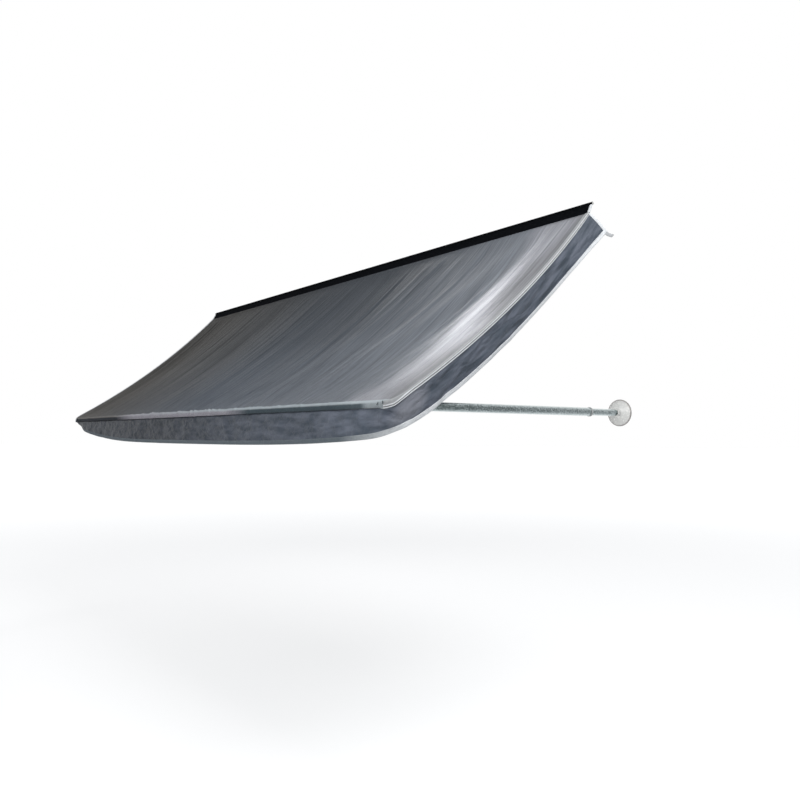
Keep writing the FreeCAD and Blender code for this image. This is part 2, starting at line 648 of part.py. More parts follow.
def suction_cup(side):
    """Clear cup: sealing rim, dome and a neck that snaps over the ball; x = 0 is the ball."""
    name = side + "_suction_cup"
    wall = "Sizes.ball_height"
    rim = cylinder(name + "_rim", "Sizes.cup_diameter / 2", "Sizes.rim_height", wall + " - Sizes.rim_height")
    dome = document.addObject("Part::Cone", name + "_dome")
    bind(dome, {
        "Radius1": "Sizes.socket_diameter / 2 + Sizes.dome_shoulder",
        "Radius2": "Sizes.cup_diameter / 2",
        "Height": "Sizes.dome_height - Sizes.rim_height",
    })
    dome.Placement = FreeCAD.Placement(Vector(), Rotation(Vector(0, 0, 1), Vector(1, 0, 0)))
    bind(dome, {".Placement.Base.x": wall + " - Sizes.dome_height"})
    neck = cylinder(name + "_neck", "Sizes.socket_diameter / 2", "Sizes.ball_height",
                    "-Sizes.socket_lip")
    blank = fuse(name + "_blank", [rim, dome, neck])
    socket = solid_piece(name + "_socket", ball_socket())
    cavity = document.addObject("Part::Sphere", name + "_cavity")
    hollow = "(Sizes.cup_diameter / 2 - Sizes.rim_width)"
    bend = "((%s ^ 2 + Sizes.cavity_height ^ 2) / (2 * Sizes.cavity_height))" % hollow
    bind(cavity, {"Radius": bend, ".Placement.Base.x": wall + " - Sizes.cavity_height + " + bend})
    return cut(name, cut(name + "_socketed", blank, socket), cavity)


def place_on_arm(piece, way, along):
    """Stands a piece modelled along +X on the arm's axis, at a distance from the pivot."""
    turn = 90 - way * splay
    direction = Vector(way * math.sin(math.radians(splay)), math.cos(math.radians(splay)), 0)
    base = Vector(way * pivot_x, pivot_y, bar_place.z) + direction * along
    piece.Placement = FreeCAD.Placement(base, Rotation(Vector(0, 0, 1), turn))
    return keep(piece)


for side, way in [("left", -1), ("right", 1)]:
    keep(fork(side, way))
    keep(pivot_pin(side, way))
    place_on_arm(outer_arm(side), way, 0)
    place_on_arm(mouth_bush(side), way, mouth)
    place_on_arm(inner_arm(side), way, inner_start)
    place_on_arm(lock_cam(side), way, inner_start)
    cup = keep(suction_cup(side))
    cup_turn = Rotation(Vector(0, 0, 1), 90)
    cup.Placement = FreeCAD.Placement(Vector(way * cup_x, ball_y, bar_place.z), cup_turn)

document.recompute()

# Every object must have built, and every sub-part must be a valid solid, before anything is written
for item in document.Objects:
    if "Invalid" in item.State or "Error" in item.State:
        raise RuntimeError("%s did not build: %s" % (item.Label, item.State))
for piece in pieces:
    if piece.Shape.isNull() or not piece.Shape.isValid() or not piece.Shape.Solids:
        raise RuntimeError("%s is not a valid solid" % piece.Label)

os.makedirs("parts", exist_ok=True)
for piece in pieces:
    piece.Shape.exportStep("parts/%s.step" % piece.Label)
    print("%-24s %10.0f mm3" % (piece.Label, piece.Shape.Volume))
print(len(pieces), "sub-parts, arm length %.1f, splay %.1f degrees" % (arm_length, splay))
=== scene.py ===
import math

import bpy
import numpy as np
from mathutils import Matrix, Vector


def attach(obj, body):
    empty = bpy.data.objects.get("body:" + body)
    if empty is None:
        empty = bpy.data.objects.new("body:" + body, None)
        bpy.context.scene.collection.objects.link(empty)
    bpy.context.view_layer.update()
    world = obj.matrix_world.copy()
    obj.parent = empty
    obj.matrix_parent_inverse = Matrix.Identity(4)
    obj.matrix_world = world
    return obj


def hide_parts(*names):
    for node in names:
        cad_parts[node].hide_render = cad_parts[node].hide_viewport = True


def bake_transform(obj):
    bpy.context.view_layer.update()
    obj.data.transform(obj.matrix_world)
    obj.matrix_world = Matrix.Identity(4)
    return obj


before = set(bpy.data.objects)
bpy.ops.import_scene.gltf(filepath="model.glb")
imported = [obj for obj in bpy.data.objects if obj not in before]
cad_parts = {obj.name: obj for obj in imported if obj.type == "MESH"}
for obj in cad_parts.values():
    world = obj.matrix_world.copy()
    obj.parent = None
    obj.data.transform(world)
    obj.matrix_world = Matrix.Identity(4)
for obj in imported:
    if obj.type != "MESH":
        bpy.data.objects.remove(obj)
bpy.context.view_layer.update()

# Caravan window awning, in metres: +X along the wall, +Y into it, +Z up.
# The origin is the middle of the keder bead in its rail.

awning = {
    "halfWidth": 1.0,
    "barReach": 0.576,      # bead to front bar, out from the wall
    "barDrop": 0.492,       # bead to front bar, down
    "barHalf": 0.955,
    "stripLength": 0.030,
    "stripSlope": 62,       # degrees below level
    "cloth": 0.0012,
    "seam": 0.00015,
    "tunnelOuter": 0.0095,
    "roofSag": 0.026,
    "cornerRadius": 0.036,
}
sides = {"left": -1, "right": 1}


# Small helpers

def smooth(value):
    value = np.clip(value, 0, 1)
    return value * value * (3 - 2 * value)


def ridge(x, centre, width):
    return np.exp(-((x - centre) / width) ** 2)


def unit(vectors):
    return vectors / np.linalg.norm(vectors, axis=-1, keepdims=True)


def slopeOf(upper, lower):
    return math.atan2(upper[1] - lower[1], upper[0] - lower[0])


def across(slope):
    return np.array([-math.sin(slope), math.cos(slope)])


def downward(slope):
    return -np.array([math.cos(slope), math.sin(slope)])


def lengthAlong(line):
    return np.concatenate([[0], np.cumsum(np.linalg.norm(np.diff(line, axis=0), axis=-1))])


def gridOf(rows, columns):
    # each pair of a row's value and a column's value
    return np.stack(np.meshgrid(rows, columns, indexing="ij"), axis=-1)


def makeActive(piece):
    bpy.ops.object.select_all(action="DESELECT")
    piece.select_set(True)
    bpy.context.view_layer.objects.active = piece


def startEdit(piece):
    makeActive(piece)
    bpy.ops.object.mode_set(mode="EDIT")
    bpy.ops.mesh.select_all(action="SELECT")


def endEdit():
    # every face is turned outwards
    bpy.ops.mesh.select_all(action="SELECT")
    bpy.ops.mesh.normals_make_consistent(inside=False)
    bpy.ops.object.mode_set(mode="OBJECT")


def smoothByAngle(degrees):
    bpy.ops.object.shade_smooth_by_angle(angle=math.radians(degrees))


def giveMaterial(piece, material):
    piece.data.materials.clear()
    piece.data.materials.append(material)


def finishPiece(piece, material, body, slot, *nodes):
    giveMaterial(piece, material)
    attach(piece, body)
    if nodes:
        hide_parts(*nodes)
    return piece


def addObject(name, data):
    item = bpy.data.objects.new(name, data)
    bpy.context.scene.collection.objects.link(item)
    return item


def meshPiece(name, points, faces):
    mesh = bpy.data.meshes.new(name)
    mesh.from_pydata(points.reshape(-1, 3).tolist(), [], faces)
    mesh.polygons.foreach_set("use_smooth", [True] * len(mesh.polygons))
    return addObject(name, mesh)


def gridPiece(name, points, uv, closed=False, flip=False):
    # rows x columns x 3 points; closed joins the last column to the first
    rows, columns = points.shape[:2]
    index = np.arange(rows * columns).reshape(rows, columns)
    nextColumn = np.roll(index, -1, axis=1) if closed else index[:, 1:]
    thisColumn = index if closed else index[:, :-1]
    quads = np.stack([thisColumn[:-1], nextColumn[:-1], nextColumn[1:], thisColumn[1:]], axis=-1)
    quads = quads.reshape(-1, 4)
    if flip:
        quads = quads[:, ::-1]
    piece = meshPiece(name, points, quads.tolist())
    mesh = piece.data
    corners = np.empty(len(mesh.loops), np.int32)
    mesh.loops.foreach_get("vertex_index", corners)
    layer = mesh.uv_layers.new(name="cloth")
    layer.data.foreach_set("uv", uv.reshape(-1, 2)[corners].astype(np.float32).ravel())
    return piece


def thicken(piece, thickness, offset=0.0):
    solid = piece.modifiers.new("cloth thickness", "SOLIDIFY")
    solid.thickness = thickness
    solid.offset = offset
    makeActive(piece)
    bpy.ops.object.modifier_apply(modifier=solid.name)


def joinPieces(pieces, name):
    makeActive(pieces[0])
    for other in pieces[1:]:
        other.select_set(True)
    bpy.ops.object.join()
    pieces[0].name = name
    pieces[0].data.name = name
    return pieces[0]


# The roof's arc, from the strip to the top of the bar's cloth tunnel, as (y, z) pairs

roofFolds = {
    "count": 7, "margin": 0.014, "uneven": 0.35, "turn": 2.4,
    "ratioMiddle": 0.024, "ratioEnds": 0.002,    # a fold's height to its width, halfway down and at the ends
}

foldShares = 1 + roofFolds["uneven"] * np.sin(roofFolds["turn"] * np.arange(roofFolds["count"]))
foldUnit = 2 * (awning["halfWidth"] - roofFolds["margin"]) / foldShares.sum()
foldStart = roofFolds["margin"] - awning["halfWidth"]
foldEdges = foldStart + np.concatenate([[0], np.cumsum(foldShares * foldUnit)])
endFold = roofFolds["ratioEnds"] * foldShares.max() * foldUnit

barPlace = np.array([-awning["barReach"], -awning["barDrop"]])
stripTurn = math.radians(awning["stripSlope"])
roofTop = awning["stripLength"] * downward(stripTurn)
halfTurn = 2 * math.atan(2 * awning["roofSag"] / np.linalg.norm(barPlace - roofTop))
frontSlope = slopeOf(roofTop, barPlace) - halfTurn
seatRadius = awning["tunnelOuter"] + awning["seam"] + awning["cloth"] / 2 + endFold
roofFront = barPlace + across(frontSlope) * seatRadius
chord = np.linalg.norm(roofFront - roofTop)
halfTurn = 2 * math.atan(2 * awning["roofSag"] / chord)
arcRadius = chord / 2 / math.sin(halfTurn)
chordSlope = slopeOf(roofTop, roofFront)
chordNormal = across(chordSlope)
downSlope = downward(chordSlope)
arcCentre = (roofTop + roofFront) / 2 + chordNormal * arcRadius * math.cos(halfTurn)
roofLength = 2 * halfTurn * arcRadius


def roofPoint(share, lift):
    # y and z of the roof at a share of the way down, lifted off its middle layer
    turn = halfTurn * (2 * share - 1)
    outY = downSlope[0] * np.sin(turn) - chordNormal[0] * np.cos(turn)
    outZ = downSlope[1] * np.sin(turn) - chordNormal[1] * np.cos(turn)
    return arcCentre[0] + outY * (arcRadius - lift), arcCentre[1] + outZ * (arcRadius - lift)


def roofHeight(y):
    return arcCentre[1] - math.sqrt(arcRadius ** 2 - (y - arcCentre[0]) ** 2)


def shareAt(y):
    # share down the slope at which the arc has this y
    return np.interp(-y, -roofLine[0], roofLine[1])


lineShares = np.linspace(-0.05, 1.05, 400)
roofLine = (roofPoint(lineShares, 0)[0], lineShares)


# Node helpers: most of them return the output that the next one takes

def feed(node, sockets):
    # each socket takes a number, a colour or another node's output
    for name, value in sockets.items():
        if isinstance(value, bpy.types.NodeSocket):
            node.id_data.links.new(value, node.inputs[name])
        else:
            node.inputs[name].default_value = value


def addNode(tree, kind, sockets, **settings):
    node = tree.nodes.new("ShaderNode" + kind)
    for name, value in settings.items():
        setattr(node, name, value)
    feed(node, sockets)
    return node


def texture(tree, kind, scale, source="UV", move=(0, 0, 0), turn=0, sockets=None, **settings):
    start = tree.nodes.new("ShaderNodeTexCoord").outputs[source]
    mapping = addNode(tree, "Mapping", {
        "Vector": start, "Scale": scale, "Location": move, "Rotation": (0, 0, math.radians(turn))})
    return addNode(tree, "Tex" + kind, {"Vector": mapping.outputs["Vector"], **(sockets or {})}, **settings)


def noise(tree, scale, detail=2.0, source="UV", turn=0, roughness=0.5, distortion=0.0):
    sockets = {"Detail": detail, "Roughness": roughness, "Distortion": distortion}
    return texture(tree, "Noise", scale, source, turn=turn, sockets=sockets).outputs["Fac"]


def gradient(tree, scale, source="UV", move=(0, 0, 0), turn=0, shape="LINEAR"):
    return texture(tree, "Gradient", scale, source, move, turn, gradient_type=shape).outputs["Fac"]


def waves(tree, perMetre, direction):
    # at this scale the texture has one wave in each unit
    return texture(tree, "Wave", (perMetre,) * 3, sockets={"Scale": 0.314},
                   bands_direction=direction).outputs["Fac"]


def calculate(tree, operation, *values):
    return addNode(tree, "Math", dict(enumerate(values)), operation=operation).outputs["Value"]


def ramp(tree, source, stops):
    # a stop is a position and a colour, or one number for a grey
    node = addNode(tree, "ValToRGB", {"Fac": source})
    while len(node.color_ramp.elements) < len(stops):
        node.color_ramp.elements.new(0.5)
    for element, (position, colour) in zip(node.color_ramp.elements, stops):
        element.position = position
        element.color = (*colour, 1) if isinstance(colour, tuple) else (colour, colour, colour, 1)
    return node.outputs["Color"]


def spread(tree, source, low, high):
    return addNode(tree, "MapRange", {"Value": source, "To Min": low, "To Max": high}).outputs["Result"]


def blend(tree, factor, first, second, way="MIX"):
    sockets = {"Factor": factor, "A": first, "B": second}
    return addNode(tree, "Mix", sockets, data_type="RGBA", blend_type=way).outputs["Result"]


def multiply(tree, first, second):
    return blend(tree, 1, first, second, "MULTIPLY")


def weave(tree, threadsPerMetre):
    # plain weave: warp and weft waves multiplied
    return calculate(tree, "MULTIPLY", waves(tree, threadsPerMetre, "X"), waves(tree, threadsPerMetre, "Y"))


def newMaterial(name):
    material = bpy.data.materials.new(name)
    material.use_nodes = True
    return material, material.node_tree


def dressShader(material, sockets, bumps=()):
    # each bump is a height source, its strength and its depth in metres
    tree = material.node_tree
    shader = tree.nodes["Principled BSDF"]
    feed(shader, sockets)
    last = {}
    for source, strength, depth in bumps:
        node = addNode(tree, "Bump", {"Height": source, "Strength": strength, "Distance": depth, **last})
        last = {"Normal": node.outputs["Normal"]}
    feed(shader, last)
    return material


# Materials

silverLook = {
    "darkReflection": (0.164, 0.158, 0.150),   # towards the left end, browner: painted dark reflection
    "middle": (0.165, 0.186, 0.218),
    "nearRight": (0.235, 0.255, 0.286),
    "brightReflection": (0.370, 0.378, 0.415),       # the last hand's breadth before the right edge: painted bright reflection
    "byTape": (0.270, 0.275, 0.292),
    # over the bar and under it: at the left end, then a painted highlight, then the plain tone; painted
    # light on top and painted shade below
    "litOverBar": [(0.22, 0.21, 0.20), (0.48, 0.47, 0.51), (0.46, 0.51, 0.54)],
    "shadedUnderBar": [(0.060, 0.066, 0.078), (0.56, 0.54, 0.60), (0.115, 0.150, 0.172)],
    "barRun": 0.05,                       # length of cloth that the colours round the bar take
    "uneven": 0.06,                       # how far the limits of the painted reflection tones wander
    "shine": (0.02, 0.30, 0.12),          # metallic share: where the reflection is painted dark, where it is painted bright, beside the tape
    "specular": 0.01, "roughness": (0.26, 0.42), "wornRoughness": 0.14,
    "crinkleDepth": 0.0022, "gatherDepth": 0.0070, "weaveDepth": 0.0002, "threads": 900,
}


def silverCloth():
    look = silverLook
    material, tree = newMaterial("silverCoatedCloth")
    # across the cloth from the left edge, the same made uneven, and down it from the strip to the bar
    along = gradient(tree, (0.5, 1, 1), move=(0.47, 0, 0))
    sheen = calculate(tree, "MULTIPLY_ADD", noise(tree, (2.2, 1.0, 1), 5), look["uneven"], along)
    share = gradient(tree, (1 / roofLength,) * 3, turn=-90)
    # the cloth's tone across it, darker and browner to the left and lighter to the right: painted reflection
    paintedReflectionTone = ramp(tree, sheen, [
        (0.10, look["darkReflection"]), (0.55, look["middle"]), (0.84, look["nearRight"]),
        (0.91, look["nearRight"]), (0.945, look["brightReflection"]), (0.965, look["brightReflection"]), (0.988, look["byTape"])])
    # light and dark streaks down the slope: painted shading of the soft folds
    streaks = noise(tree, (30, 0.6, 1), 5, roughness=0.65)
    streaky = multiply(tree, paintedReflectionTone, ramp(tree, streaks, [(0.34, 0.58), (0.66, 1.0)]))
    # painted shade, darkest at the strip and fading out towards the bar; the unmarked share leaves it off
    # near the right edge
    shaded = multiply(tree, streaky, ramp(tree, share, [(0.0, 0.38), (0.5, 0.56), (1.0, 1.0)]))
    unmarked = ramp(tree, sheen, [(0.72, 0.0), (0.95, 1.0)])
    roofColour = blend(tree, unmarked, shaded, streaky)
    # over the bar: painted light on top and painted shade below, a painted highlight in the left half, pale
    # again at its end
    near = 1 / look["barRun"]
    down = gradient(tree, (near, near, 1), move=(0.5 - near * roofLength, 0, 0), turn=-90)
    farOver, highlitOver, over = look["litOverBar"]
    farUnder, highlitUnder, under = look["shadedUnderBar"]
    above = ramp(tree, along, [(0.20, farOver), (0.29, highlitOver), (0.68, over)])
    below = ramp(tree, along, [
        (0.22, farUnder), (0.30, highlitUnder), (0.63, highlitUnder),
        (0.69, under), (0.915, under), (0.925, over)])
    # painted glints on the crinkles under the bar
    paintedGlints = ramp(tree, noise(tree, (170, 260, 1), 3), [(0.40, 0.38), (0.58, 1.0)])
    lower = ramp(tree, down, [(0.66, 0.0), (0.76, 1.0)])
    barColour = blend(tree, lower, above, multiply(tree, below, paintedGlints))
    onBar = ramp(tree, down, [(0.46, 0.0), (0.52, 1.0)])
    dull, bright, beside = look["shine"]
    scuffs = spread(tree, noise(tree, (38, 7, 1), 6), *look["roughness"])
    matt = ramp(tree, sheen, [(0.88, look["wornRoughness"]), (0.93, 0.0)])
    nearBar = ramp(tree, share, [(0.55, 0.0), (0.92, 1.0)])
    return dressShader(material, {
        "Base Color": blend(tree, onBar, roofColour, barColour),
        "Metallic": ramp(tree, sheen, [(0.905, dull), (0.942, bright), (0.962, bright), (0.986, beside)]),
        "Specular IOR Level": look["specular"],
        "Roughness": calculate(tree, "ADD", scuffs, matt),
    }, [
        (noise(tree, (46, 2.4, 1), 4, distortion=0.4), 0.8, look["crinkleDepth"]),
        (multiply(tree, noise(tree, (120, 2.0, 1)), nearBar), 0.8, look["gatherDepth"]),
        (weave(tree, look["threads"]), 0.25, look["weaveDepth"]),
    ])


valanceLook = {
    "face": (0.090, 0.110, 0.140),
    # lighter colour of the mottling: painted sheen on the crumples
    "sheen": (0.187, 0.210, 0.260),
    "litCorner": (0.240, 0.250, 0.285),      # painted light on the face of the right corner
    "litCornerSize": 0.050,
    "litCornerPlace": (0.022, 0.026),           # past the right corner's middle, and down
    # painted light and shade by where the band faces, by its share of the run from the left end at the wall
    # to the right one
    "shades": [
        (0.10, 0.64), (0.20, 0.28), (0.47, 0.30), (0.61, 0.58), (0.71, 0.72), (0.775, 0.98), (0.82, 0.72)],
    "run": 3.15,                          # flat length of the band
    "specular": 0.10, "roughness": (0.36, 0.52),
    "crinkleDepth": 0.016, "creaseDepth": 0.0010, "weaveDepth": 0.0002, "threads": 1000,
}


def valanceCloth(cornerMiddle):
    look = valanceLook
    material, tree = newMaterial("slateValanceCloth")
    clouds = noise(tree, (3.6, 12, 1), 2.5, turn=24, distortion=0.25)
    # lighter diagonal clouds: painted sheen on the crumples
    mottled = ramp(tree, clouds, [(0.36, look["face"]), (0.66, look["sheen"])])
    shades = ramp(tree, gradient(tree, (1 / look["run"],) * 3), look["shades"])
    # a painted patch of light on the right corner's face
    near = 1 / look["litCornerSize"]
    past, down = look["litCornerPlace"]
    middle = (-near * (cornerMiddle + past), -near * 1.3 * down, 0)
    litCornerFade = gradient(tree, (near, near * 1.3, 1), move=middle, shape="SPHERICAL")
    litCornerPatch = ramp(tree, litCornerFade, [(0.05, 0.0), (0.6, 0.85)])
    creased = texture(tree, "Voronoi", (9, 17, 1), turn=12, feature="DISTANCE_TO_EDGE").outputs["Distance"]
    return dressShader(material, {
        "Base Color": blend(tree, litCornerPatch, multiply(tree, mottled, shades), (*look["litCorner"], 1)),
        "Specular IOR Level": look["specular"],
        "Roughness": spread(tree, clouds, *look["roughness"]),
    }, [
        (noise(tree, (4.5, 10, 1), 1.6, turn=-30, distortion=0.3), 0.7, look["crinkleDepth"]),
        (ramp(tree, creased, [(0.0, 0.0), (0.09, 1.0)]), 0.5, look["creaseDepth"]),
        (weave(tree, look["threads"]), 0.3, look["weaveDepth"]),
    ])


bindingLook = {
    "unmarked": (0.74, 0.76, 0.78), "grubby": (0.60, 0.62, 0.64), "roughness": 0.72,
    "puckerDepth": 0.0012, "ribs": 900, "ribDepth": 0.0003,
}


def bindingCloth(name, per=1.0, turn=0, tints=None):
    # tints shade the cloth by the share of its run, or across it with a turn of -90
    look = bindingLook
    material, tree = newMaterial(name)
    colour = ramp(tree, noise(tree, (30, 60, 1), 6), [(0.34, look["grubby"]), (0.55, look["unmarked"])])
    if tints:
        colour = multiply(tree, colour, ramp(tree, gradient(tree, (1 / per,) * 3, turn=turn), tints))
    return dressShader(material, {"Base Color": colour, "Roughness": look["roughness"]}, [
        (noise(tree, (160, 40, 1)), 0.5, look["puckerDepth"]),
        (waves(tree, look["ribs"], "X"), 0.4, look["ribDepth"]),
    ])


stripLook = {
    "cloth": (0.003, 0.0035, 0.0045), "dust": (0.010, 0.011, 0.013),
    "roughness": 0.75, "specular": 0.005, "threads": 800, "weaveDepth": 0.0003,
}


def blackStripCloth():
    look = stripLook
    material, tree = newMaterial("blackStripCloth")
    dust = noise(tree, (20, 60, 1), 8)
    return dressShader(material, {
        "Base Color": ramp(tree, dust, [(0.45, look["cloth"]), (0.85, look["dust"])]),
        "Roughness": look["roughness"],
        "Specular IOR Level": look["specular"],
    }, [(weave(tree, look["threads"]), 0.4, look["weaveDepth"])])


steelLook = {
    "bright": (0.60, 0.66, 0.66), "dull": (0.30, 0.34, 0.35), "deep": (0.085, 0.105, 0.105),
    "spangle": 130, "streaks": 70, "streakDepth": 0.0004, "roughness": (0.20, 0.46),
}


def galvanisedSteel():
    look = steelLook
    material, tree = newMaterial("galvanisedSteel")
    spangle = texture(tree, "Voronoi", (look["spangle"],) * 3, "Object").outputs["Color"]
    streaks = noise(tree, (look["streaks"],) * 3, 7, "Object")
    spots = calculate(tree, "MULTIPLY", addNode(tree, "RGBToBW", {"Color": spangle}).outputs["Val"], streaks)
    # darker where the tube faces the view and brighter towards its edges: painted reflection, over the
    # spangle
    edge = addNode(tree, "LayerWeight", {"Blend": 0.35}).outputs["Facing"]
    spangleAndReflection = calculate(tree, "MULTIPLY_ADD", spots, 0.5, edge)
    return dressShader(material, {
        "Base Color": ramp(tree, spangleAndReflection, [(0.24, look["deep"]), (0.40, look["dull"]), (0.62, look["bright"])]),
        "Metallic": 1.0,
        "Roughness": spread(tree, spots, *look["roughness"]),
    }, [(streaks, 0.25, look["streakDepth"])])


def lighter(colour, share, more):
    return tuple(min(1, channel * share + more) for channel in colour)


plasticLook = {"grain": 260, "grainDepth": 0.0002, "smoother": 0.06, "rougher": 0.1}


def mouldedPlastic(name, colour, roughness):
    look = plasticLook
    material, tree = newMaterial(name)
    mottle = noise(tree, (look["grain"],) * 3, 4, "Object")
    return dressShader(material, {
        "Base Color": ramp(tree, mottle, [(0.45, colour), (0.75, lighter(colour, 1.35, 0.01))]),
        "Roughness": spread(tree, mottle, roughness - look["smoother"], roughness + look["rougher"]),
    }, [(mottle, 0.3, look["grainDepth"])])


vinylLook = {
    "body": (0.74, 0.745, 0.73), "cloudy": (0.86, 0.86, 0.84), "rim": (0.40, 0.37, 0.36),
    "transmission": 0.55, "refraction": 1.5, "roughness": (0.14, 0.34),
    "haze": 70, "hazeDepth": 0.0008, "reach": 0.0315,
}


def clearVinyl(name, middle):
    # the thick outer rim, near the reach from the cup's middle, is darkened with painted shade
    look = vinylLook
    material, tree = newMaterial(name)
    haze = noise(tree, (look["haze"],) * 3, 5, "Object")
    hazy = ramp(tree, haze, [(0.38, look["body"]), (0.65, look["cloudy"])])
    near = 1 / look["reach"]
    move = tuple(-near * value for value in middle)
    inwards = gradient(tree, (near,) * 3, "Object", move, shape="SPHERICAL")
    return dressShader(material, {
        "Base Color": multiply(tree, hazy, ramp(tree, inwards, [(0.085, look["rim"]), (0.13, 1.0)])),
        "Transmission Weight": look["transmission"],
        "IOR": look["refraction"],
        "Roughness": spread(tree, haze, *look["roughness"]),
    }, [(haze, 0.3, look["hazeDepth"])])


threadLook = {"twist": 900, "roughness": 0.6}


def sewingThread(name, colour):
    material, tree = newMaterial(name)
    twist = noise(tree, (threadLook["twist"],) * 3, source="Object")
    return dressShader(material, {
        "Base Color": ramp(tree, twist, [(0.3, colour), (0.7, lighter(colour, 1.3, 0.02))]),
        "Roughness": threadLook["roughness"],
    })


silver = silverCloth()
white = bindingCloth("whiteBinding")
blackCloth = blackStripCloth()
steel = galvanisedSteel()
blackPlastic = mouldedPlastic("blackPlastic", (0.018, 0.018, 0.019), 0.42)
greyPlastic = mouldedPlastic("greyPlastic", (0.34, 0.35, 0.35), 0.46)
whitePlastic = mouldedPlastic("whitePlastic", (0.72, 0.72, 0.69), 0.42)
greyThread = sewingThread("greyThread", (0.20, 0.21, 0.23))
darkThread = sewingThread("darkThread", (0.03, 0.04, 0.045))
print("materials made")


# Folds and creases of the roof cloth

roofWrinkles = {
    "seed": 12,
    # creases down the cloth: x at the strip, sizes, and the shares of the slope where they start and end
    "longFolds": 96, "longX": (-0.97, 0.93), "longHeight": (0.0008, 0.0034), "longWidth": (0.006, 0.020),
    "longStart": (-0.3, 0.35), "longEnd": (0.75, 1.6),
    # gathers that run into the bar's tunnel, most of them near x = 0.4
    "gathers": 190, "gatherX": (-0.95, 0.40, 0.90), "gatherHeight": (0.0006, 0.0024),
    "gatherWidth": (0.0035, 0.008), "gatherStart": (0.66, 0.93), "gatherEnd": 1.6,
    "fade": 0.22,                            # share of the slope over which a crease fades at its ends
    "flatEdge": 0.011, "edgeFade": 0.045,    # flat strip under the side tapes, and beside it
    "topFade": 0.10,
    # broad tensions seen on the cloth: x at the strip, x at the bar, width, height
    "tensions": [
        (0.935, 0.905, 0.042, 0.0075), (0.924, 0.908, 0.006, 0.0011), (0.900, 0.690, 0.050, -0.0060),
        (0.830, 0.600, 0.036, 0.0035), (0.740, 0.500, 0.032, -0.0035), (0.395, 0.345, 0.007, 0.0044),
        (0.640, 0.430, 0.030, 0.0030), (0.150, 0.060, 0.024, 0.0024), (-0.300, -0.360, 0.028, -0.0028),
        (-0.700, -0.680, 0.030, 0.0026),
    ],
}


def makeCreases():
    wrinkles, dice = roofWrinkles, np.random.default_rng(roofWrinkles["seed"])
    made = []
    for _ in range(wrinkles["longFolds"]):
        start = dice.uniform(*wrinkles["longX"])
        fan = -0.16 * max(0, start - 0.3) + dice.uniform(-0.03, 0.02)
        made.append({
            "top": start,
            "low": start + fan,
            "width": dice.uniform(*wrinkles["longWidth"]),
            "height": dice.uniform(*wrinkles["longHeight"]) * dice.choice([1, -0.7]),
            "from": dice.uniform(*wrinkles["longStart"]),
            "to": dice.uniform(*wrinkles["longEnd"]),
        })
    for _ in range(wrinkles["gathers"]):
        start = dice.triangular(*wrinkles["gatherX"])
        made.append({
            "top": start + dice.uniform(0.0, 0.05),
            "low": start,
            "width": dice.uniform(*wrinkles["gatherWidth"]),
            "height": dice.uniform(*wrinkles["gatherHeight"]),
            "from": dice.uniform(*wrinkles["gatherStart"]),
            "to": wrinkles["gatherEnd"],
        })
    return made


creases = makeCreases()


def midSlope(share, power):
    return np.sin(np.pi * np.clip(share, 0, 1)) ** power


def broadFolds(x, share):
    index = np.clip(np.searchsorted(foldEdges, x) - 1, 0, roofFolds["count"] - 1)
    left, right = foldEdges[index], foldEdges[index + 1]
    within = np.clip((x - left) / (right - left), 0, 1)
    rise = roofFolds["ratioMiddle"] - roofFolds["ratioEnds"]
    ratio = roofFolds["ratioEnds"] + rise * midSlope(share, 0.7)
    return np.where(index % 2 == 1, 1, -1) * ratio * (right - left) * 4 * within * (1 - within)


def roofLift(x, share):
    lift = broadFolds(x, share)
    for top, low, width, height in roofWrinkles["tensions"]:
        lift = lift + height * midSlope(share, 0.6) * ridge(x, top + (low - top) * share, width)
    for crease in creases:
        centre = crease["top"] + (crease["low"] - crease["top"]) * share
        fade = (smooth((share - crease["from"]) / roofWrinkles["fade"])
                * smooth((crease["to"] - share) / roofWrinkles["fade"]))
        lift = lift + crease["height"] * fade * ridge(x, centre, crease["width"])
    inside = awning["halfWidth"] - roofWrinkles["flatEdge"] - np.abs(x)
    return lift * smooth(inside / roofWrinkles["edgeFade"]) * smooth(share / roofWrinkles["topFade"])


roofCloth = {
    "columns": 560, "rows": 62, "wrapRows": 13,
    "endColumns": 34,      # closer columns at each end, from this x
    "endFrom": 0.925,
    "endGap": 0.0003,      # edge inside the half width
    "wrapStop": -28,       # degrees above level, seen from the bar's middle
    "wrapRun": 0.026,      # length of cloth that goes round the bar
    "wrapFolds": 0.8,      # height of the gathers over the bar, as a share of that above it
    "thickness": 0.0009,
    "settle": 0.10,        # share of the slope in which the folds flatten towards the bar
    "settled": 0.3,        # share of their height that is left at the bar
    "cornerProud": 0.0012,
    "cornerLift": 0.001,
}
cornerX = awning["halfWidth"] - awning["cornerRadius"]
frontFace = -awning["barReach"] - awning["tunnelOuter"] - awning["seam"]
cornerY = frontFace + awning["cornerRadius"]
seamHeight = barPlace[1] - 0.0062        # where the front valance is sewn to the tunnel


def edgeTop(y):
    lowest, highest = roofFront[0], roofTop[0]
    return roofHeight(min(max(y, lowest), highest)) + awning["cloth"] / 2 - awning["seam"]


def cornerDrop(turn):
    # the edge rolls down round a front corner, from the roof's level to the tunnel's seam
    return (edgeTop(frontFace) - seamHeight) * smooth(turn / 90)


def columnPlaces():
    # columns closer together towards the rounded corners
    start = roofCloth["endFrom"]
    close = np.linspace(start, awning["halfWidth"] - roofCloth["endGap"], roofCloth["endColumns"])
    return np.concatenate([-close[::-1], np.linspace(-start, start, roofCloth["columns"])[1:-1], close])


def barGathers(x):
    # the gathers that run on over the bar, stronger in the left half
    strength = 0.25 + 0.75 * smooth((0.50 - x) / 0.25)
    rise = np.zeros_like(x)
    for crease in creases:
        if crease["to"] > 1.3:
            height = crease["height"] * roofCloth["wrapFolds"]
            rise = rise + height * strength * ridge(x, crease["low"], crease["width"])
    return rise


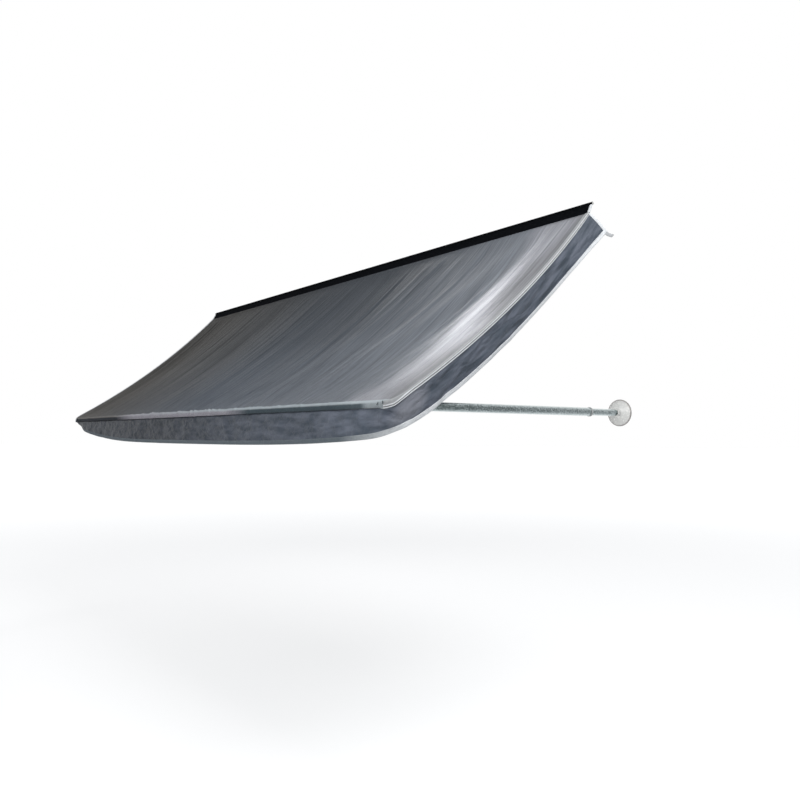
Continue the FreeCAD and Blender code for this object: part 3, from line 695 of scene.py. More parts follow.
def makeRoof():
    x = columnPlaces()
    radius = awning["cornerRadius"]
    beyond = np.clip(np.abs(x) - cornerX, 0, radius - 0.0004)
    roundedY = cornerY - np.sqrt(radius ** 2 - beyond ** 2)
    frontY = np.maximum(roundedY + 0.0008, roofFront[0])
    allX, rows = np.meshgrid(x, np.linspace(0, 1, roofCloth["rows"]))
    share = rows * np.minimum(shareAt(frontY), 1)
    settle = smooth((1 - share) / roofCloth["settle"])
    kept = roofCloth["settled"]
    lift = roofLift(allX, share) * (kept + (1 - kept) * settle)
    y, z = roofPoint(share, np.maximum(lift, -0.0002 - 0.03 * settle))
    # over the bar, down to the seam at its lower front
    wrap = np.linspace(0, 1, roofCloth["wrapRows"] + 1)[1:, None]
    normal = across(frontSlope)
    first = math.atan2(normal[1], normal[0])
    last = math.radians(180 - roofCloth["wrapStop"])
    angle = first + (last - first) * wrap
    barRadius = seatRadius + barGathers(x) * (1 - 0.75 * wrap)
    wrapY = barPlace[0] + np.cos(angle) * barRadius
    wrapZ = barPlace[1] + np.sin(angle) * barRadius
    # beyond the bar's end, rolled down over the top of the corner
    turn = np.degrees(np.arccos(beyond / radius))
    outX, outY = np.sign(x) * beyond / radius, -np.sin(np.radians(turn))
    over, down = np.sin(wrap * math.pi / 2), 1 - np.cos(wrap * math.pi / 2)
    rollY = y[-1] + (roundedY + roofCloth["cornerProud"] * outY - y[-1]) * over
    rollZ = z[-1] - (cornerDrop(turn) + roofCloth["cornerLift"]) * down
    onBar = smooth((awning["barHalf"] + 0.002 - np.abs(x)) / 0.012)
    allX = np.vstack([allX, x + 0.002 * outX * over * (1 - onBar)])
    y = np.vstack([y, rollY + (wrapY - rollY) * onBar])
    z = np.vstack([z, rollZ + (wrapZ - rollZ) * onBar])
    run = np.vstack([rows * roofLength, roofLength + wrap * roofCloth["wrapRun"] + 0 * x])
    piece = gridPiece("roofCloth", np.stack([allX, y, z], axis=-1), np.stack([allX, run], axis=-1))
    thicken(piece, roofCloth["thickness"])
    return finishPiece(piece, silver, "canopy", "silver_cloth", "roof_panel")


roof = makeRoof()
print("roof cloth made")

# The lower half of the bar's cloth tunnel, closed against the roof cloth behind the bar

tunnel = {
    "thickness": 0.0008, "columns": 260, "rows": 18, "run": 0.045, "inset": 0.0004,
    "start": 4,            # degrees under the roof cloth's end
    "stop": 424,           # degrees turned from level, where it closes behind the bar
    "puckers": 90, "puckerWidth": (0.004, 0.012), "puckerDepth": 0.00045, "seed": 5,
}


def makeTunnel():
    half = awning["barHalf"] - 0.002
    x = np.linspace(-half, half, tunnel["columns"])
    first = math.radians(180 - roofCloth["wrapStop"] - tunnel["start"])
    allX, turn = np.meshgrid(x, np.linspace(0, 1, tunnel["rows"]))
    angle = first + (math.radians(tunnel["stop"]) - first) * turn
    dice = np.random.default_rng(tunnel["seed"])
    pucker = sum(ridge(x, dice.uniform(-half, half), dice.uniform(*tunnel["puckerWidth"]))
                 for _ in range(tunnel["puckers"]))
    radius = awning["tunnelOuter"] - tunnel["inset"] - tunnel["puckerDepth"] * pucker * np.sin(np.pi * turn)
    y, z = barPlace[0] + np.cos(angle) * radius, barPlace[1] + np.sin(angle) * radius
    uv = np.stack([allX, turn * tunnel["run"]], axis=-1)
    piece = gridPiece("barTunnel", np.stack([allX, y, z], axis=-1), uv)
    thicken(piece, tunnel["thickness"])
    return finishPiece(piece, silver, "canopy", "silver_cloth", "front_hem")


barTunnel = makeTunnel()
print("bar tunnel made")

# Skirt: one band of cloth from the wall round the front and back to the wall

skirt = {
    "sideDepth": (0.070, 0.071, 0.066),      # at the wall, mid slope and the corner
    "sideSpread": (0.005, -0.002, 0.002),
    "wallFlare": (0.042, 0.12),              # swing outward at the wall, share over which it fades
    "wallLift": (0.0145, 0.10),
    "cornerDepth": {-1: 0.030, 1: 0.060},    # left and right front corners
    "cornerFullness": {-1: 3.2, 1: 3.6},
    "frontDepth": 0.080,
    "softCorner": {-1: 0.085, 1: 0.036},     # run over which the low edge rounds the corner
    "stations": {"side": 110, "corner": 26, "front": 320},
    "belly": 0.0025, "wave": 0.0045, "waveTurn": 2.3, "thickness": 0.0009, "levels": 26,
    # folds, each leaning along the run from top to bottom
    "seed": 31, "folds": 90, "foldSlant": 0.07, "foldWidth": (0.008, 0.030), "foldHeight": 0.0026,
    # a sharp crease runs from under each end of the tunnel down across the corner, with a swell beside it
    "cornerFold": {-1: 0.3, 1: 1.0},
    "creaseWidth": 0.007, "creaseDepth": 0.0078, "swellWidth": 0.016, "swellHeight": 0.0045,
}
wallEnd = roofTop[0] - awning["seam"]


def quadratic(values, share):
    first, middle, last = values
    return (first * 2 * (share - 0.5) * (share - 1) - middle * 4 * share * (share - 1)
            + last * 2 * share * (share - 0.5))


def sideStation(way, share):
    # a station is its plan place, outward direction, top and low heights, and lean of the low edge
    y = wallEnd + (cornerY - wallEnd) * share
    flare, fade = skirt["wallFlare"]
    lift, liftFade = skirt["wallLift"]
    depth = quadratic(skirt["sideDepth"], share) - lift * math.exp(-share / liftFade)
    lean = quadratic(skirt["sideSpread"], share) + flare * math.exp(-share / fade)
    return (way * awning["halfWidth"], y), (way, 0), edgeTop(y), edgeTop(y) - depth, lean


def cornerStation(way, turn):
    share = turn / 90
    angle = math.radians(turn)
    outward = (way * math.cos(angle), -math.sin(angle))
    x = way * cornerX + outward[0] * awning["cornerRadius"]
    y = cornerY + outward[1] * awning["cornerRadius"]
    sideLow = edgeTop(cornerY) - skirt["sideDepth"][2]
    low = sideLow + (barPlace[1] - skirt["cornerDepth"][way] - sideLow) * share
    return (x, y), outward, edgeTop(y) - cornerDrop(turn), low, skirt["sideSpread"][2] * (1 - share)


def frontStation(step):
    # a step runs from -1 at the left corner to 1 at the right one; the top is sewn to the tunnel
    way = 1 if step > 0 else -1
    corner = skirt["cornerDepth"][way]
    depth = corner + (skirt["frontDepth"] - corner) * (1 - abs(step) ** skirt["cornerFullness"][way])
    swing = skirt["wave"] * (1 - step ** 2) * math.sin(skirt["waveTurn"] * 6 * (step + 1))
    radius = awning["tunnelOuter"] + awning["seam"]
    inset = radius - math.sqrt(radius ** 2 - (barPlace[1] - seamHeight) ** 2)
    y = frontFace + inset * smooth((1 - abs(step)) / 0.03)
    return (step * cornerX, y), (0, -1), seamHeight, barPlace[1] - depth, swing


def softened(values, run, reach, pitch=0.002):
    # a running average over the low edge, wider round one front corner
    even = np.arange(0, run[-1], pitch)
    count = int(3 * reach / pitch)
    bell = np.exp(-((np.arange(-count, count + 1) * pitch) / reach) ** 2 * 0.5)
    padded = np.pad(np.interp(even, run, values), count, mode="reflect", reflect_type="odd")
    return np.interp(run, even, np.convolve(padded, bell / bell.sum(), mode="valid"))


def skirtStations():
    count = skirt["stations"]
    stations = [sideStation(-1, share) for share in np.linspace(0, 1, count["side"])]
    stations += [cornerStation(-1, turn) for turn in np.linspace(0, 90, count["corner"])[1:]]
    stations += [frontStation(step) for step in np.linspace(-1, 1, count["front"])[1:-1]]
    stations += [cornerStation(1, turn) for turn in np.linspace(90, 0, count["corner"])]
    stations += [sideStation(1, share) for share in np.linspace(1, 0, count["side"])[1:]]
    plan, outward, high, low, lean = (np.array(part, float) for part in zip(*stations))
    top = np.column_stack([plan, high])
    low = np.column_stack([plan + outward * lean[:, None], low])
    run = lengthAlong(plan)
    for way, corner in ((-1, cornerRun), (1, run[-1] - cornerRun)):
        reach = skirt["softCorner"][way]
        near = np.exp(-((run - corner) / (2.6 * reach)) ** 4)
        for axis in range(3):
            low[:, axis] += (softened(low[:, axis], run, reach) - low[:, axis]) * near
    return top, low, outward, run


cornerRun = wallEnd - cornerY + awning["cornerRadius"] * math.pi / 4
topEdge, lowEdge, skirtOutward, skirtRun = skirtStations()
skirtLength = skirtRun[-1]
skirtDepth = np.linalg.norm(lowEdge - topEdge, axis=1)
slate = valanceCloth(skirtLength - cornerRun)


def skirtCreases():
    dice = np.random.default_rng(skirt["seed"])
    slant, height = skirt["foldSlant"], skirt["foldHeight"]
    return [{
        "at": dice.uniform(0.02, skirtLength - 0.02),
        "slant": dice.uniform(-slant, slant),
        "width": dice.uniform(*skirt["foldWidth"]),
        "height": dice.uniform(-height, height),
        "from": dice.uniform(-0.2, 0.6),
        "to": dice.uniform(0.8, 1.5),
    } for _ in range(skirt["folds"])]


skirtFolds = skirtCreases()


def skirtOffset(along, level):
    # how far the cloth stands off its even surface, at a run along it and a level down it
    offset = np.zeros(np.broadcast(along, level).shape)
    for fold in skirtFolds:
        fade = smooth((level - fold["from"]) / 0.3) * smooth((fold["to"] - level) / 0.3)
        middle = fold["at"] + fold["slant"] * level
        offset = offset + fold["height"] * fade * ridge(along, middle, fold["width"])
    for way, middle in ((-1, cornerRun), (1, skirtLength - cornerRun)):
        share = skirt["cornerFold"][way]
        crease = ridge(along, middle + way * (-0.030 + 0.055 * level), skirt["creaseWidth"])
        swell = ridge(along, middle + way * (-0.050 + 0.050 * level), skirt["swellWidth"])
        fade = smooth(level / 0.2) * smooth((1.0 - level) / 0.45)
        offset = offset - skirt["creaseDepth"] * share * crease * fade
        offset = offset + skirt["swellHeight"] * share * swell * np.sin(np.pi * np.clip(level, 0, 1))
    ends = smooth(along / 0.05) * smooth((skirtLength - along) / 0.05)
    return offset * smooth(level / 0.12) * (0.25 + 0.75 * ends)


def skirtPoint(level, away=0.0):
    # one point per station; level is a number or one value per station
    level = np.broadcast_to(level, skirtRun.shape)
    offset = skirt["belly"] * 4 * level * (1 - level) + skirtOffset(skirtRun, level) + away
    point = topEdge + (lowEdge - topEdge) * level[:, None]
    point[:, :2] += skirtOutward * offset[:, None]
    return point


def makeSkirt():
    levels = np.linspace(0, 1, skirt["levels"]) ** 0.9 * 0.985
    points = np.stack([skirtPoint(level, skirt["thickness"] / 2) for level in levels])
    run, down = np.meshgrid(skirtRun, levels)
    piece = gridPiece("valanceSkirt", points, np.stack([run, down * skirtDepth], axis=-1))
    thicken(piece, skirt["thickness"])
    return finishPiece(piece, slate, "canopy", "grey_cloth",
                       "front_valance", "left_side_valance", "right_side_valance")


valances = makeSkirt()
print("valances made")

# White binding folded over the lower edge of the skirt and up its two wall ends

binding = {
    "width": 0.0105, "endWidth": 0.0070, "half": 0.0013, "sections": 14,
    "pucker": 0.0003, "puckerWidth": 0.004, "puckers": 55, "seed": 9,    # puckers in each metre
    "stitchLine": 0.80,    # up the band from its lower edge, as a share of its width
    # painted shade along the front, white round the corners and up the sides
    "tints": [(0.145, 1.0), (0.20, (0.10, 0.12, 0.14)), (0.50, (0.13, 0.16, 0.18)),
              (0.762, (0.15, 0.18, 0.20)), (0.825, 1.0)],
}


def bandRing():
    # section of a folded band: across its thickness and along its width, from -1 to 1
    turn = np.linspace(0, 2 * math.pi, binding["sections"], endpoint=False)
    return np.sign(np.cos(turn)) * np.abs(np.cos(turn)) ** 0.55, np.sin(turn)


def closeEnds(piece):
    startEdit(piece)
    bpy.ops.mesh.fill_holes(sides=0)
    endEdit()


def facing(centre, widthDirection):
    # the way out of a band, from its line and its direction across
    return unit(np.cross(unit(np.gradient(centre, axis=0)), widthDirection))


def makeBand(name, centre, widthDirection, width, half, length=None):
    length = lengthAlong(centre) if length is None else length
    widthDirection = np.broadcast_to(widthDirection, centre.shape)
    thickDirection = facing(centre, widthDirection)
    thickShare, widthShare = bandRing()
    points = (centre[:, None, :] + widthDirection[:, None, :] * (widthShare[None, :, None] * width / 2)
              + thickDirection[:, None, :] * (thickShare[None, :, None] * half))
    dice = np.random.default_rng(binding["seed"])
    pucker = sum(ridge(length, dice.uniform(0, length[-1]), binding["puckerWidth"]) * dice.uniform(-1, 1)
                 for _ in range(int(length[-1] * binding["puckers"])))
    proud = np.clip(pucker, -1, 1) * binding["pucker"]
    points = points + thickDirection[:, None, :] * proud[:, None, None]
    piece = gridPiece(name, points, gridOf(length, lengthAlong(points[0])), closed=True)
    closeEnds(piece)
    return piece


def lowerBand(part):
    # a line along the band, at a part of its width, and the direction down the cloth
    share = binding["width"] / skirtDepth
    centre = skirtPoint(1 - share * part, skirt["thickness"] / 2)
    return centre, unit(skirtPoint(1) - skirtPoint(1 - share))


def makeLowerBinding():
    # the binding darkened along the front with painted shade
    frontShaded = bindingCloth("greyedBinding", per=skirtLength, tints=binding["tints"])
    centre, down = lowerBand(0.5)
    piece = makeBand("lowerBinding", centre, down, binding["width"], binding["half"], skirtRun)
    return finishPiece(piece, frontShaded, "canopy", "white_binding",
                       "front_binding", "left_side_binding", "right_side_binding")


lowerBinding = makeLowerBinding()


def wallPoint(level, way):
    # a point on the skirt half a binding's width in from its end at the wall, and the way to that end
    first, second = (0, 1) if way < 0 else (-1, -2)
    points = skirtPoint(level, skirt["thickness"] / 2)
    toEnd = unit(points[first] - points[second])
    return points[first] - toEnd * binding["endWidth"] * 0.45, toEnd


def makeEndBinding(side, way):
    levels = np.linspace(0.01, 1.0, 30)
    edge, toEnd = (np.stack(part) for part in zip(*(wallPoint(level, way) for level in levels)))
    piece = makeBand(side + "EndBinding", edge, toEnd, binding["endWidth"], binding["half"] * 1.05)
    return finishPiece(piece, white, "canopy", "white_binding", side + "_end_binding")


endBindings = [makeEndBinding(*side) for side in sides.items()]

# Short tape tabs below the wall ends of the valances

tab = {
    "width": 0.0085, "length": 0.0165, "half": 0.0011, "steps": 14, "tints": [(0.0, 0.62), (1.0, 0.55)],
    "points": (0.86, 0.30, -0.42),    # where its low end points, outwards first
    "sewn": 0.15,                     # share of its length that lies on the cloth
}
webbing = bindingCloth("greyWebbing", tints=tab["tints"])


def makeTab(side, way):
    # leaves the cloth downwards and bends outwards
    low, toEnd = wallPoint(1.0, way)
    down = unit(low - wallPoint(0.9, way)[0])
    outX, outY, outZ = tab["points"]
    reach = np.linspace(-tab["sewn"], 1, tab["steps"])[:, None]
    bend = smooth(reach / 0.5)
    directions = unit(down * (1 - bend) + np.array([way * outX, outY, outZ]) * bend)
    steps = directions * ((1 + tab["sewn"]) / (tab["steps"] - 1) * tab["length"])
    centre = low - down * (tab["sewn"] * tab["length"]) + np.cumsum(steps, axis=0)
    piece = makeBand(side + "PullTab", centre, toEnd, tab["width"], tab["half"])
    return finishPiece(piece, webbing, "canopy", "grey_cloth", side + "_pull_tab")


pullTabs = [makeTab(*side) for side in sides.items()]
print("bindings and tabs made")

# Tapes along the roof's side edges, round the front corners to the bar's ends

tape = {
    "width": 0.0105, "thickness": 0.0009, "proud": (0.0016, 0.0026), "above": 0.00035,
    "lip": 0.0042, "lipGap": 0.0012,    # part that hangs over the roof's edge
    "rows": 100, "steps": 17, "cornerSteps": 34,
    "stop": 0.9625,                     # x at which it ends in front
    "stitchLines": (0.0030, 0.0100),
    # light and dark lines across the right tape, from its outer edge
    "tints": [
        (0.12, 1.0), (0.15, 0.12), (0.24, 0.16), (0.27, 0.92), (0.42, 0.88), (0.47, 0.40), (0.90, 0.55)],
}
tapeAbove = awning["cloth"] / 2 + tape["above"]
linedTape = bindingCloth("linedTape", per=tape["width"] + tape["lip"], turn=-90, tints=tape["tints"])


def tapeLine(way):
    # places along the roof's edge, the direction in from it in plan, and how far it rolls down
    along = np.zeros(tape["rows"])
    turn = np.linspace(0, 90, tape["cornerSteps"])[1:]
    cos, sin = np.cos(np.radians(turn)), np.sin(np.radians(turn))
    ends = np.linspace(cornerX, tape["stop"], 3)[1:]
    radius = awning["cornerRadius"]
    x = np.concatenate([along + awning["halfWidth"], cornerX + cos * radius, ends])
    y = np.concatenate([np.linspace(roofTop[0] - 0.0004, cornerY, len(along)), cornerY - sin * radius,
                        0 * ends + frontFace])
    inX = np.concatenate([along - 1, -cos, 0 * ends])
    inY = np.concatenate([along, sin, 0 * ends + 1])
    drop = np.concatenate([along, cornerDrop(turn), 0 * ends + cornerDrop(90)])
    return way * x, y, way * inX, inY, drop


def tapePoint(way, step, above):
    # a line on the tape, a step in from its outer edge and so far above the roof cloth
    x, y, inX, inY, drop = tapeLine(way)
    rolled = tape["lip"] + drop * (1 - (tape["lip"] - tape["lipGap"]) / drop.max())
    climb = np.minimum(step, rolled)
    low, high = tape["proud"]
    proud = low + (high - low) * drop / drop.max() + above * 0.7
    inwards = step - climb - proud * (1 - (climb / rolled) ** 2)
    lineX, lineY = x + inX * inwards, y + inY * inwards
    share = np.minimum(shareAt(lineY), 1)
    liftedY, lineZ = roofPoint(share, roofLift(lineX, share) + above)
    return np.stack([lineX, lineY + liftedY - roofPoint(share, 0)[0], lineZ - (rolled - climb)], axis=-1)


def makeTape(side, way):
    steps = np.linspace(0, tape["width"] + tape["lip"], tape["steps"])
    points = np.stack([tapePoint(way, step, tapeAbove) for step in steps], axis=1)
    piece = gridPiece(side + "RoofTape", points, gridOf(lengthAlong(points[:, 0]), steps), flip=way < 0)
    thicken(piece, tape["thickness"], 0.6)
    cloth = linedTape if way > 0 else white
    return finishPiece(piece, cloth, "canopy", "white_binding", side + "_roof_tape")


roofTapes = [makeTape(*side) for side in sides.items()]
print("roof tapes made")

# Black strip: wrapped round the bead, joined below it, and down to the roof's top edge

strip = {
    "beadRadius": 0.0025, "cover": 0.00045, "half": 0.00033, "cloth": 0.0005, "columns": 220,
    "wrap": 128,               # degrees to each side of the bead's far point
    "neck": 0.21,              # share of its length at which the two layers meet
    "overlap": 0.0006,
    "bend": (0.006, 0.018),    # where it bends between the bead and the canopy
    "ripples": 40, "rippleWidth": (0.02, 0.06), "rippleHeight": 0.0007, "seed": 3,
    "endWidth": 0.0078, "endHalf": 0.0015, "endReach": (0.0052, 0.0288),
}
stripAway, stripUp = downward(stripTurn), across(stripTurn)


def stripLine():
    # half section in (y, z) along the strip: round the bead, then down both faces together
    aroundBead = [
        (-stripAway * math.cos(angle) + stripUp * math.sin(angle)) * (strip["beadRadius"] + strip["cover"])
        for angle in np.radians(np.linspace(-strip["wrap"], strip["wrap"], 23))
    ]
    neck, end = awning["stripLength"] * strip["neck"], awning["stripLength"] + strip["overlap"]
    lower = [stripAway * reach - stripUp * strip["half"] for reach in np.linspace(end, neck, 12)]
    upper = [stripAway * reach + stripUp * strip["half"] for reach in np.linspace(neck, end, 12)]
    return np.array(lower + aroundBead + upper)


def makeStrip():
    line = stripLine()
    x = np.linspace(-awning["halfWidth"], awning["halfWidth"], strip["columns"])
    dice = np.random.default_rng(strip["seed"])
    ripple = sum(ridge(x, dice.uniform(-1, 1), dice.uniform(*strip["rippleWidth"])) * dice.uniform(-1, 1)
                 for _ in range(strip["ripples"]))
    fromBead = np.linalg.norm(line, axis=1)
    between = smooth((fromBead - 0.006) / 0.012) * (1 - smooth((fromBead - 0.022) / 0.007))
    uv = gridOf(x, lengthAlong(line))
    moved = line + stripUp * (strip["rippleHeight"] * ripple[:, None, None] * between[None, :, None])
    piece = gridPiece("kederStripCloth", np.concatenate([uv[..., :1], moved], axis=-1), uv)
    thicken(piece, strip["cloth"])
    giveMaterial(piece, blackCloth)
    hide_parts("keder_strip", "keder_welt")
    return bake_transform(piece)


stripCloth = makeStrip()


def makeStripEnd(side, way):
    # white tape folded round the strip's end
    reach = np.linspace(*strip["endReach"], 14)
    start = np.array([way * (awning["halfWidth"] - 0.0028), 0, 0])
    centre = np.array([0, *stripAway]) * reach[:, None] + start
    piece = makeBand(side + "StripEnd", centre, (1.0, 0, 0), strip["endWidth"], strip["endHalf"])
    return finishPiece(piece, white, "canopy", "white_binding", side + "_strip_binding")


stripEnds = [makeStripEnd(*side) for side in sides.items()]
print("keder strip made")

# Clear suction cups, turned ring by ring from the socket outwards and back to the hollow

cup = {
    "spread": 1.060, "wall": 0.010, "segments": 64,
    # radius and height above the wall of each ring, from the socket's floor
    "rings": [
        (0.00192, 0.0074),
        (0.0048, 0.0086), (0.0070, 0.0112), (0.00745, 0.0140), (0.0070, 0.0162), (0.0061, 0.0176),
        (0.0068, 0.0184), (0.0092, 0.0184), (0.0103, 0.0176), (0.0105, 0.0162), (0.0106, 0.0134),
        (0.0116, 0.0120), (0.0136, 0.0106), (0.0170, 0.0084), (0.0215, 0.0058), (0.0262, 0.0034),
        (0.0290, 0.0021), (0.0298, 0.0016), (0.0300, 0.0009), (0.0299, 0.0001), (0.0290, 0.0),
        (0.0262, 0.0), (0.0255, 0.0006), (0.0215, 0.0022), (0.0160, 0.0035), (0.0090, 0.0043),
        (0.0020, 0.0045),
    ],
}


def makeCup(side, way):
    bpy.ops.object.select_all(action="DESELECT")
    radius, height = cup["rings"][0]
    bpy.ops.mesh.primitive_circle_add(vertices=cup["segments"], radius=radius, fill_type="NGON",
                                      location=(0, 0, height))
    piece = bpy.context.object
    piece.name = side + "Cup"
    bpy.ops.object.transform_apply(location=True, rotation=True, scale=True)
    startEdit(piece)
    bpy.ops.mesh.select_mode(type="EDGE")
    bpy.ops.mesh.region_to_loop()
    for nextRadius, nextHeight in cup["rings"][1:]:
        bpy.ops.mesh.extrude_edges_move(TRANSFORM_OT_translate={"value": (0, 0, nextHeight - height)})
        share = nextRadius / radius
        bpy.ops.transform.resize(value=(share, share, 1), center_override=(0, 0, 0))
        radius, height = nextRadius, nextHeight
    bpy.ops.mesh.edge_face_add()
    bpy.ops.mesh.select_mode(type="VERT")
    endEdit()
    middle = (way * cup["spread"], cup["wall"], -awning["barDrop"])
    piece.data.transform(Matrix.Translation(middle) @ Matrix.Rotation(math.radians(90), 4, "X"))
    smoothByAngle(40)
    vinyl = clearVinyl(side + "ClearVinyl", middle)
    return finishPiece(piece, vinyl, side + "_cup", "clear_rubber", side + "_suction_cup")


for side, way in sides.items():
    makeCup(side, way)
print("suction cups made")

# Stitching: short stitches in rows, one mesh for each row's tape

stitch = {
    "pitch": 0.0042, "length": 0.0028, "radius": 0.00028, "corners": 5,
    "rings": [(0, 0.35), (0.2, 1), (0.8, 1), (1, 0.35)],    # share of its length, share of its radius
    "proud": 0.85,             # share of the tape's thickness
    "sunk": 0.82,              # share of the binding's half thickness
}


def stitchFaces(count):
    corners, rings = stitch["corners"], len(stitch["rings"])
    faces = [tuple(range(corners)), tuple(reversed(range((rings - 1) * corners, rings * corners)))]
    for ring in range(rings - 1):
        for corner in range(corners):
            first, second = ring * corners + corner, ring * corners + (corner + 1) % corners
            faces.append((second, first, first + corners, second + corners))
    size = rings * corners
    return [tuple(index * size + corner for corner in face) for index in range(count) for face in faces]


def stitchesAlong(name, line, normals):
    # line is an n x 3 path; a small five sided stitch lies along it at every pitch
    length = lengthAlong(line)
    middles = np.arange(stitch["pitch"], length[-1] - stitch["pitch"], stitch["pitch"])
    half = stitch["length"] / 2

    def at(values, source):
        return np.stack([np.interp(values, length, source[:, axis]) for axis in range(3)], axis=-1)

    start, stop, normal = at(middles - half, line), at(middles + half, line), unit(at(middles, normals))
    sideways = np.cross(unit(stop - start), normal)
    vertices = []
    for share, size in stitch["rings"]:
        for angle in np.radians(np.arange(stitch["corners"]) * 360 / stitch["corners"]):
            outward = normal * math.sin(angle) + sideways * math.cos(angle)
            vertices.append(start + (stop - start) * share + outward * stitch["radius"] * size)
    return meshPiece(name, np.stack(vertices, axis=1), stitchFaces(len(middles)))


def tapeStitches(side, way):
    rows = []
    above = tapeAbove + tape["thickness"] * stitch["proud"]
    for number, step in enumerate(tape["stitchLines"]):
        line = tapePoint(way, step, above)
        sideways = tapePoint(way, step + 0.001, above) - line
        normals = unit(np.cross(np.gradient(line, axis=0), sideways)) * way
        upward = np.sign(normals[:, 2:] + 1e-9)
        rows.append(stitchesAlong("%sTapeStitches%d" % (side, number), line, normals * upward))
    return finishPiece(joinPieces(rows, side + "TapeStitches"), greyThread, "canopy", "white_binding")


def bindingStitches():
    centre, down = lowerBand(binding["stitchLine"])
    out = facing(centre, down)
    out = out * np.sign((out[:, :2] * skirtOutward).sum(axis=1))[:, None]
    piece = stitchesAlong("lowerBindingStitches", centre + out * binding["half"] * stitch["sunk"], out)
    return finishPiece(piece, greyThread, "canopy", "white_binding")


stitching = [*(tapeStitches(*side) for side in sides.items()), bindingStitches()]
print("stitching made")

# Bar tacks: two slanting rows of close stitches that close each end of the bar's tunnel

tack = {
    "spots": [(0.943, -0.4893, 24), (0.9565, -0.4872, -24)],    # x, z and slant in degrees
    "length": 0.0064, "width": 0.0020, "flatness": 0.6, "proud": 0.0004,
}


def makeTack(x, z, slant):
    # lies on the roof cloth where a line from the front meets it
    spot, normal = roof.ray_cast((x, -0.8, z), (0, 1, 0))[1:3]
    bpy.ops.object.select_all(action="DESELECT")
    bpy.ops.mesh.primitive_cylinder_add(vertices=10, radius=tack["width"] / 2, depth=tack["length"])
    piece = bpy.context.object
    startEdit(piece)
    bpy.ops.mesh.bevel(offset=tack["width"] * 0.25, segments=2)
    endEdit()
    upright = Vector((math.sin(slant), 0, math.cos(slant)))
    along = (upright - normal * upright.dot(normal)).normalized()
    turn = Matrix((along.cross(normal), normal * -tack["flatness"], along)).transposed().to_4x4()
    piece.data.transform(Matrix.Translation(spot + normal * tack["proud"]) @ turn)
    return piece


def makeTacks(side, way):
    made = [makeTack(way * x, z, math.radians(way * slant)) for x, z, slant in tack["spots"]]
    piece = joinPieces(made, side + "BarTacks")
    smoothByAngle(50)
    return finishPiece(piece, darkThread, "canopy", "silver_cloth")


tacks = [makeTacks(*side) for side in sides.items()]
print("bar tacks made")

# Finishes of the CAD nodes that stay: those at both sides, and the two in the middle

sideFinishes = {
    "bar_tube": steel, "outer_arm": steel, "inner_arm": steel, "pivot_pin": steel,
    "fork": blackPlastic, "mouth_bush": greyPlastic, "lock_cam": whitePlastic,
}
middleFinishes = {"bar_spigot": steel, "keder_cord": whitePlastic}


def dressNodes():
    for name, finish in sideFinishes.items():
        for side in sides:
            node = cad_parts[side + "_" + name]
            giveMaterial(node, finish)
            makeActive(node)
            smoothByAngle(35)
    for name, finish in middleFinishes.items():
        giveMaterial(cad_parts[name], finish)


dressNodes()
print("nodes dressed")

# Camera, floor and light

view = {
    "place": (1.976, -1.390, -0.553),
    "up": (0.0367, -0.0402, 0.9985),
    "forward": (-0.7688, 0.6373, 0.0539),
    "lens": 32.09, "sensor": 36, "clip": (0.01, 60),
}


def makeCamera():
    data = bpy.data.cameras.new("photoCamera")
    data.lens = view["lens"]
    data.sensor_width = view["sensor"]
    data.clip_start, data.clip_end = view["clip"]
    camera = addObject("photoCamera", data)
    forward = Vector(view["forward"]).normalized()
    right = forward.cross(Vector(view["up"])).normalized()
    turn = Matrix((right, right.cross(forward), -forward)).transposed()
    camera.matrix_world = Matrix.Translation(view["place"]) @ turn.to_4x4()
    bpy.context.scene.camera = camera


stage = {
    "floor": -1.25, "size": 120, "colour": (0.72, 0.72, 0.72), "roughness": 0.9,
    "nearGlow": 0.42, "farGlow": 0.75,
    "fade": 0.16,      # one over the distance, in metres, at which the far glow is reached
}
whiteLight = (1, 1, 1, 1)


def paleRay(tree):
    # 1 for rays that show the background: seen, mirrored or through clear pieces
    rays = tree.nodes.new("ShaderNodeLightPath").outputs
    seen = calculate(tree, "MAXIMUM", rays["Is Camera Ray"], rays["Is Glossy Ray"])
    return calculate(tree, "MAXIMUM", seen, rays["Is Transmission Ray"])


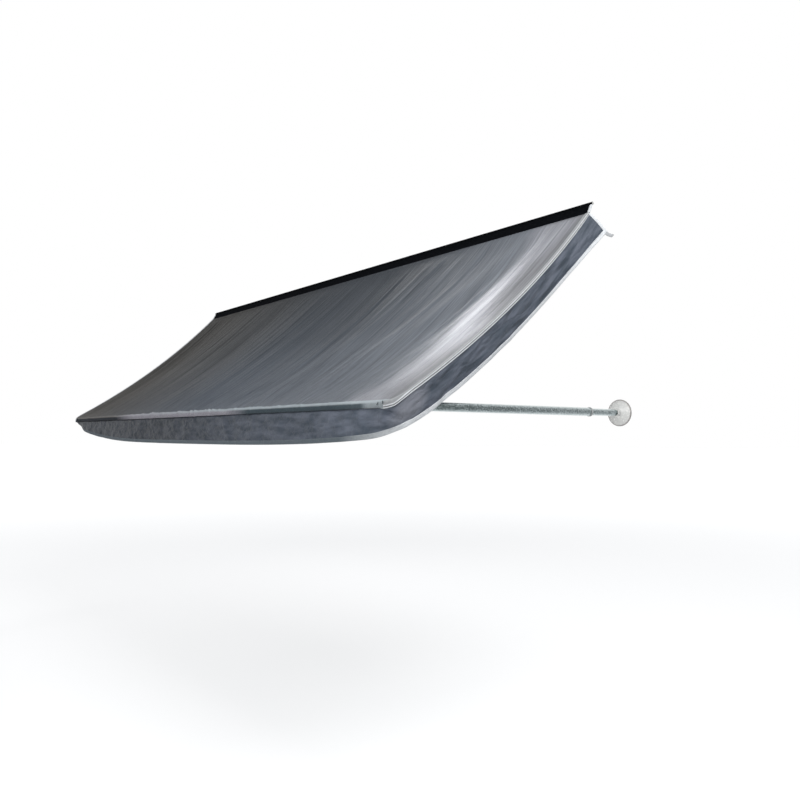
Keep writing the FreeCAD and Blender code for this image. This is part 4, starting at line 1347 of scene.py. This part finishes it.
def makeFloor():
    bpy.ops.object.select_all(action="DESELECT")
    bpy.ops.mesh.primitive_plane_add(size=stage["size"], location=(0, 0, stage["floor"]))
    floor = bpy.context.object
    floor.name = "floor"
    material, tree = newMaterial("paleFloor")
    near = gradient(tree, (stage["fade"],) * 3, "Object", shape="SPHERICAL")
    glow = spread(tree, near, stage["farGlow"], stage["nearGlow"])
    giveMaterial(floor, dressShader(material, {
        "Base Color": (*stage["colour"], 1),
        "Roughness": stage["roughness"],
        "Emission Color": whiteLight,
        "Emission Strength": calculate(tree, "MULTIPLY", paleRay(tree), glow),
    }))


lighting = {"worldStrength": 0.40, "worldColour": (0.93, 0.96, 1.0)}
lamps = [
    # name, place, aim, size, watts
    ("bandKey", (-1.05, 0.80, 0.95), (0.80, -0.3, -0.25), (0.5, 0.8), 15),
    ("leftRim", (-2.4, 0.3, 0.9), (0.2, -0.3, -0.3), (0.6, 0.8), 1.2),
    ("rightTop", (1.9, -0.4, 1.4), (0.6, -0.3, -0.25), (1.0, 1.0), 22),
    ("frontFill", (2.8, -3.2, 1.0), (0.2, -0.3, -0.4), (2.6, 2.6), 60),
]


def makeWorld():
    world = bpy.data.worlds.new("paleStudio")
    bpy.context.scene.world = world
    world.use_nodes = True
    tree = world.node_tree
    lit = tree.nodes["Background"]
    feed(lit, {"Color": (*lighting["worldColour"], 1), "Strength": lighting["worldStrength"]})
    seen = addNode(tree, "Background", {"Color": whiteLight, "Strength": 1.0})
    mix = addNode(tree, "MixShader", {
        "Fac": paleRay(tree), 1: lit.outputs["Background"], 2: seen.outputs["Background"]})
    feed(tree.nodes["World Output"], {"Surface": mix.outputs["Shader"]})


def makeLamps():
    for name, spot, aim, size, watts in lamps:
        data = bpy.data.lights.new(name, "AREA")
        data.shape = "RECTANGLE"
        data.size, data.size_y = size
        data.energy = watts
        lamp = addObject(name, data)
        lamp.location = spot
        lamp.visible_camera = False
        lamp.rotation_mode = "QUATERNION"
        lamp.rotation_quaternion = (Vector(aim) - Vector(spot)).to_track_quat("-Z", "Y")


makeCamera()
makeFloor()
makeWorld()
makeLamps()
bpy.context.scene.view_settings.view_transform = "Standard"
print("camera, floor and lamps set")

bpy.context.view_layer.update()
bpy.ops.object.select_all(action="DESELECT")
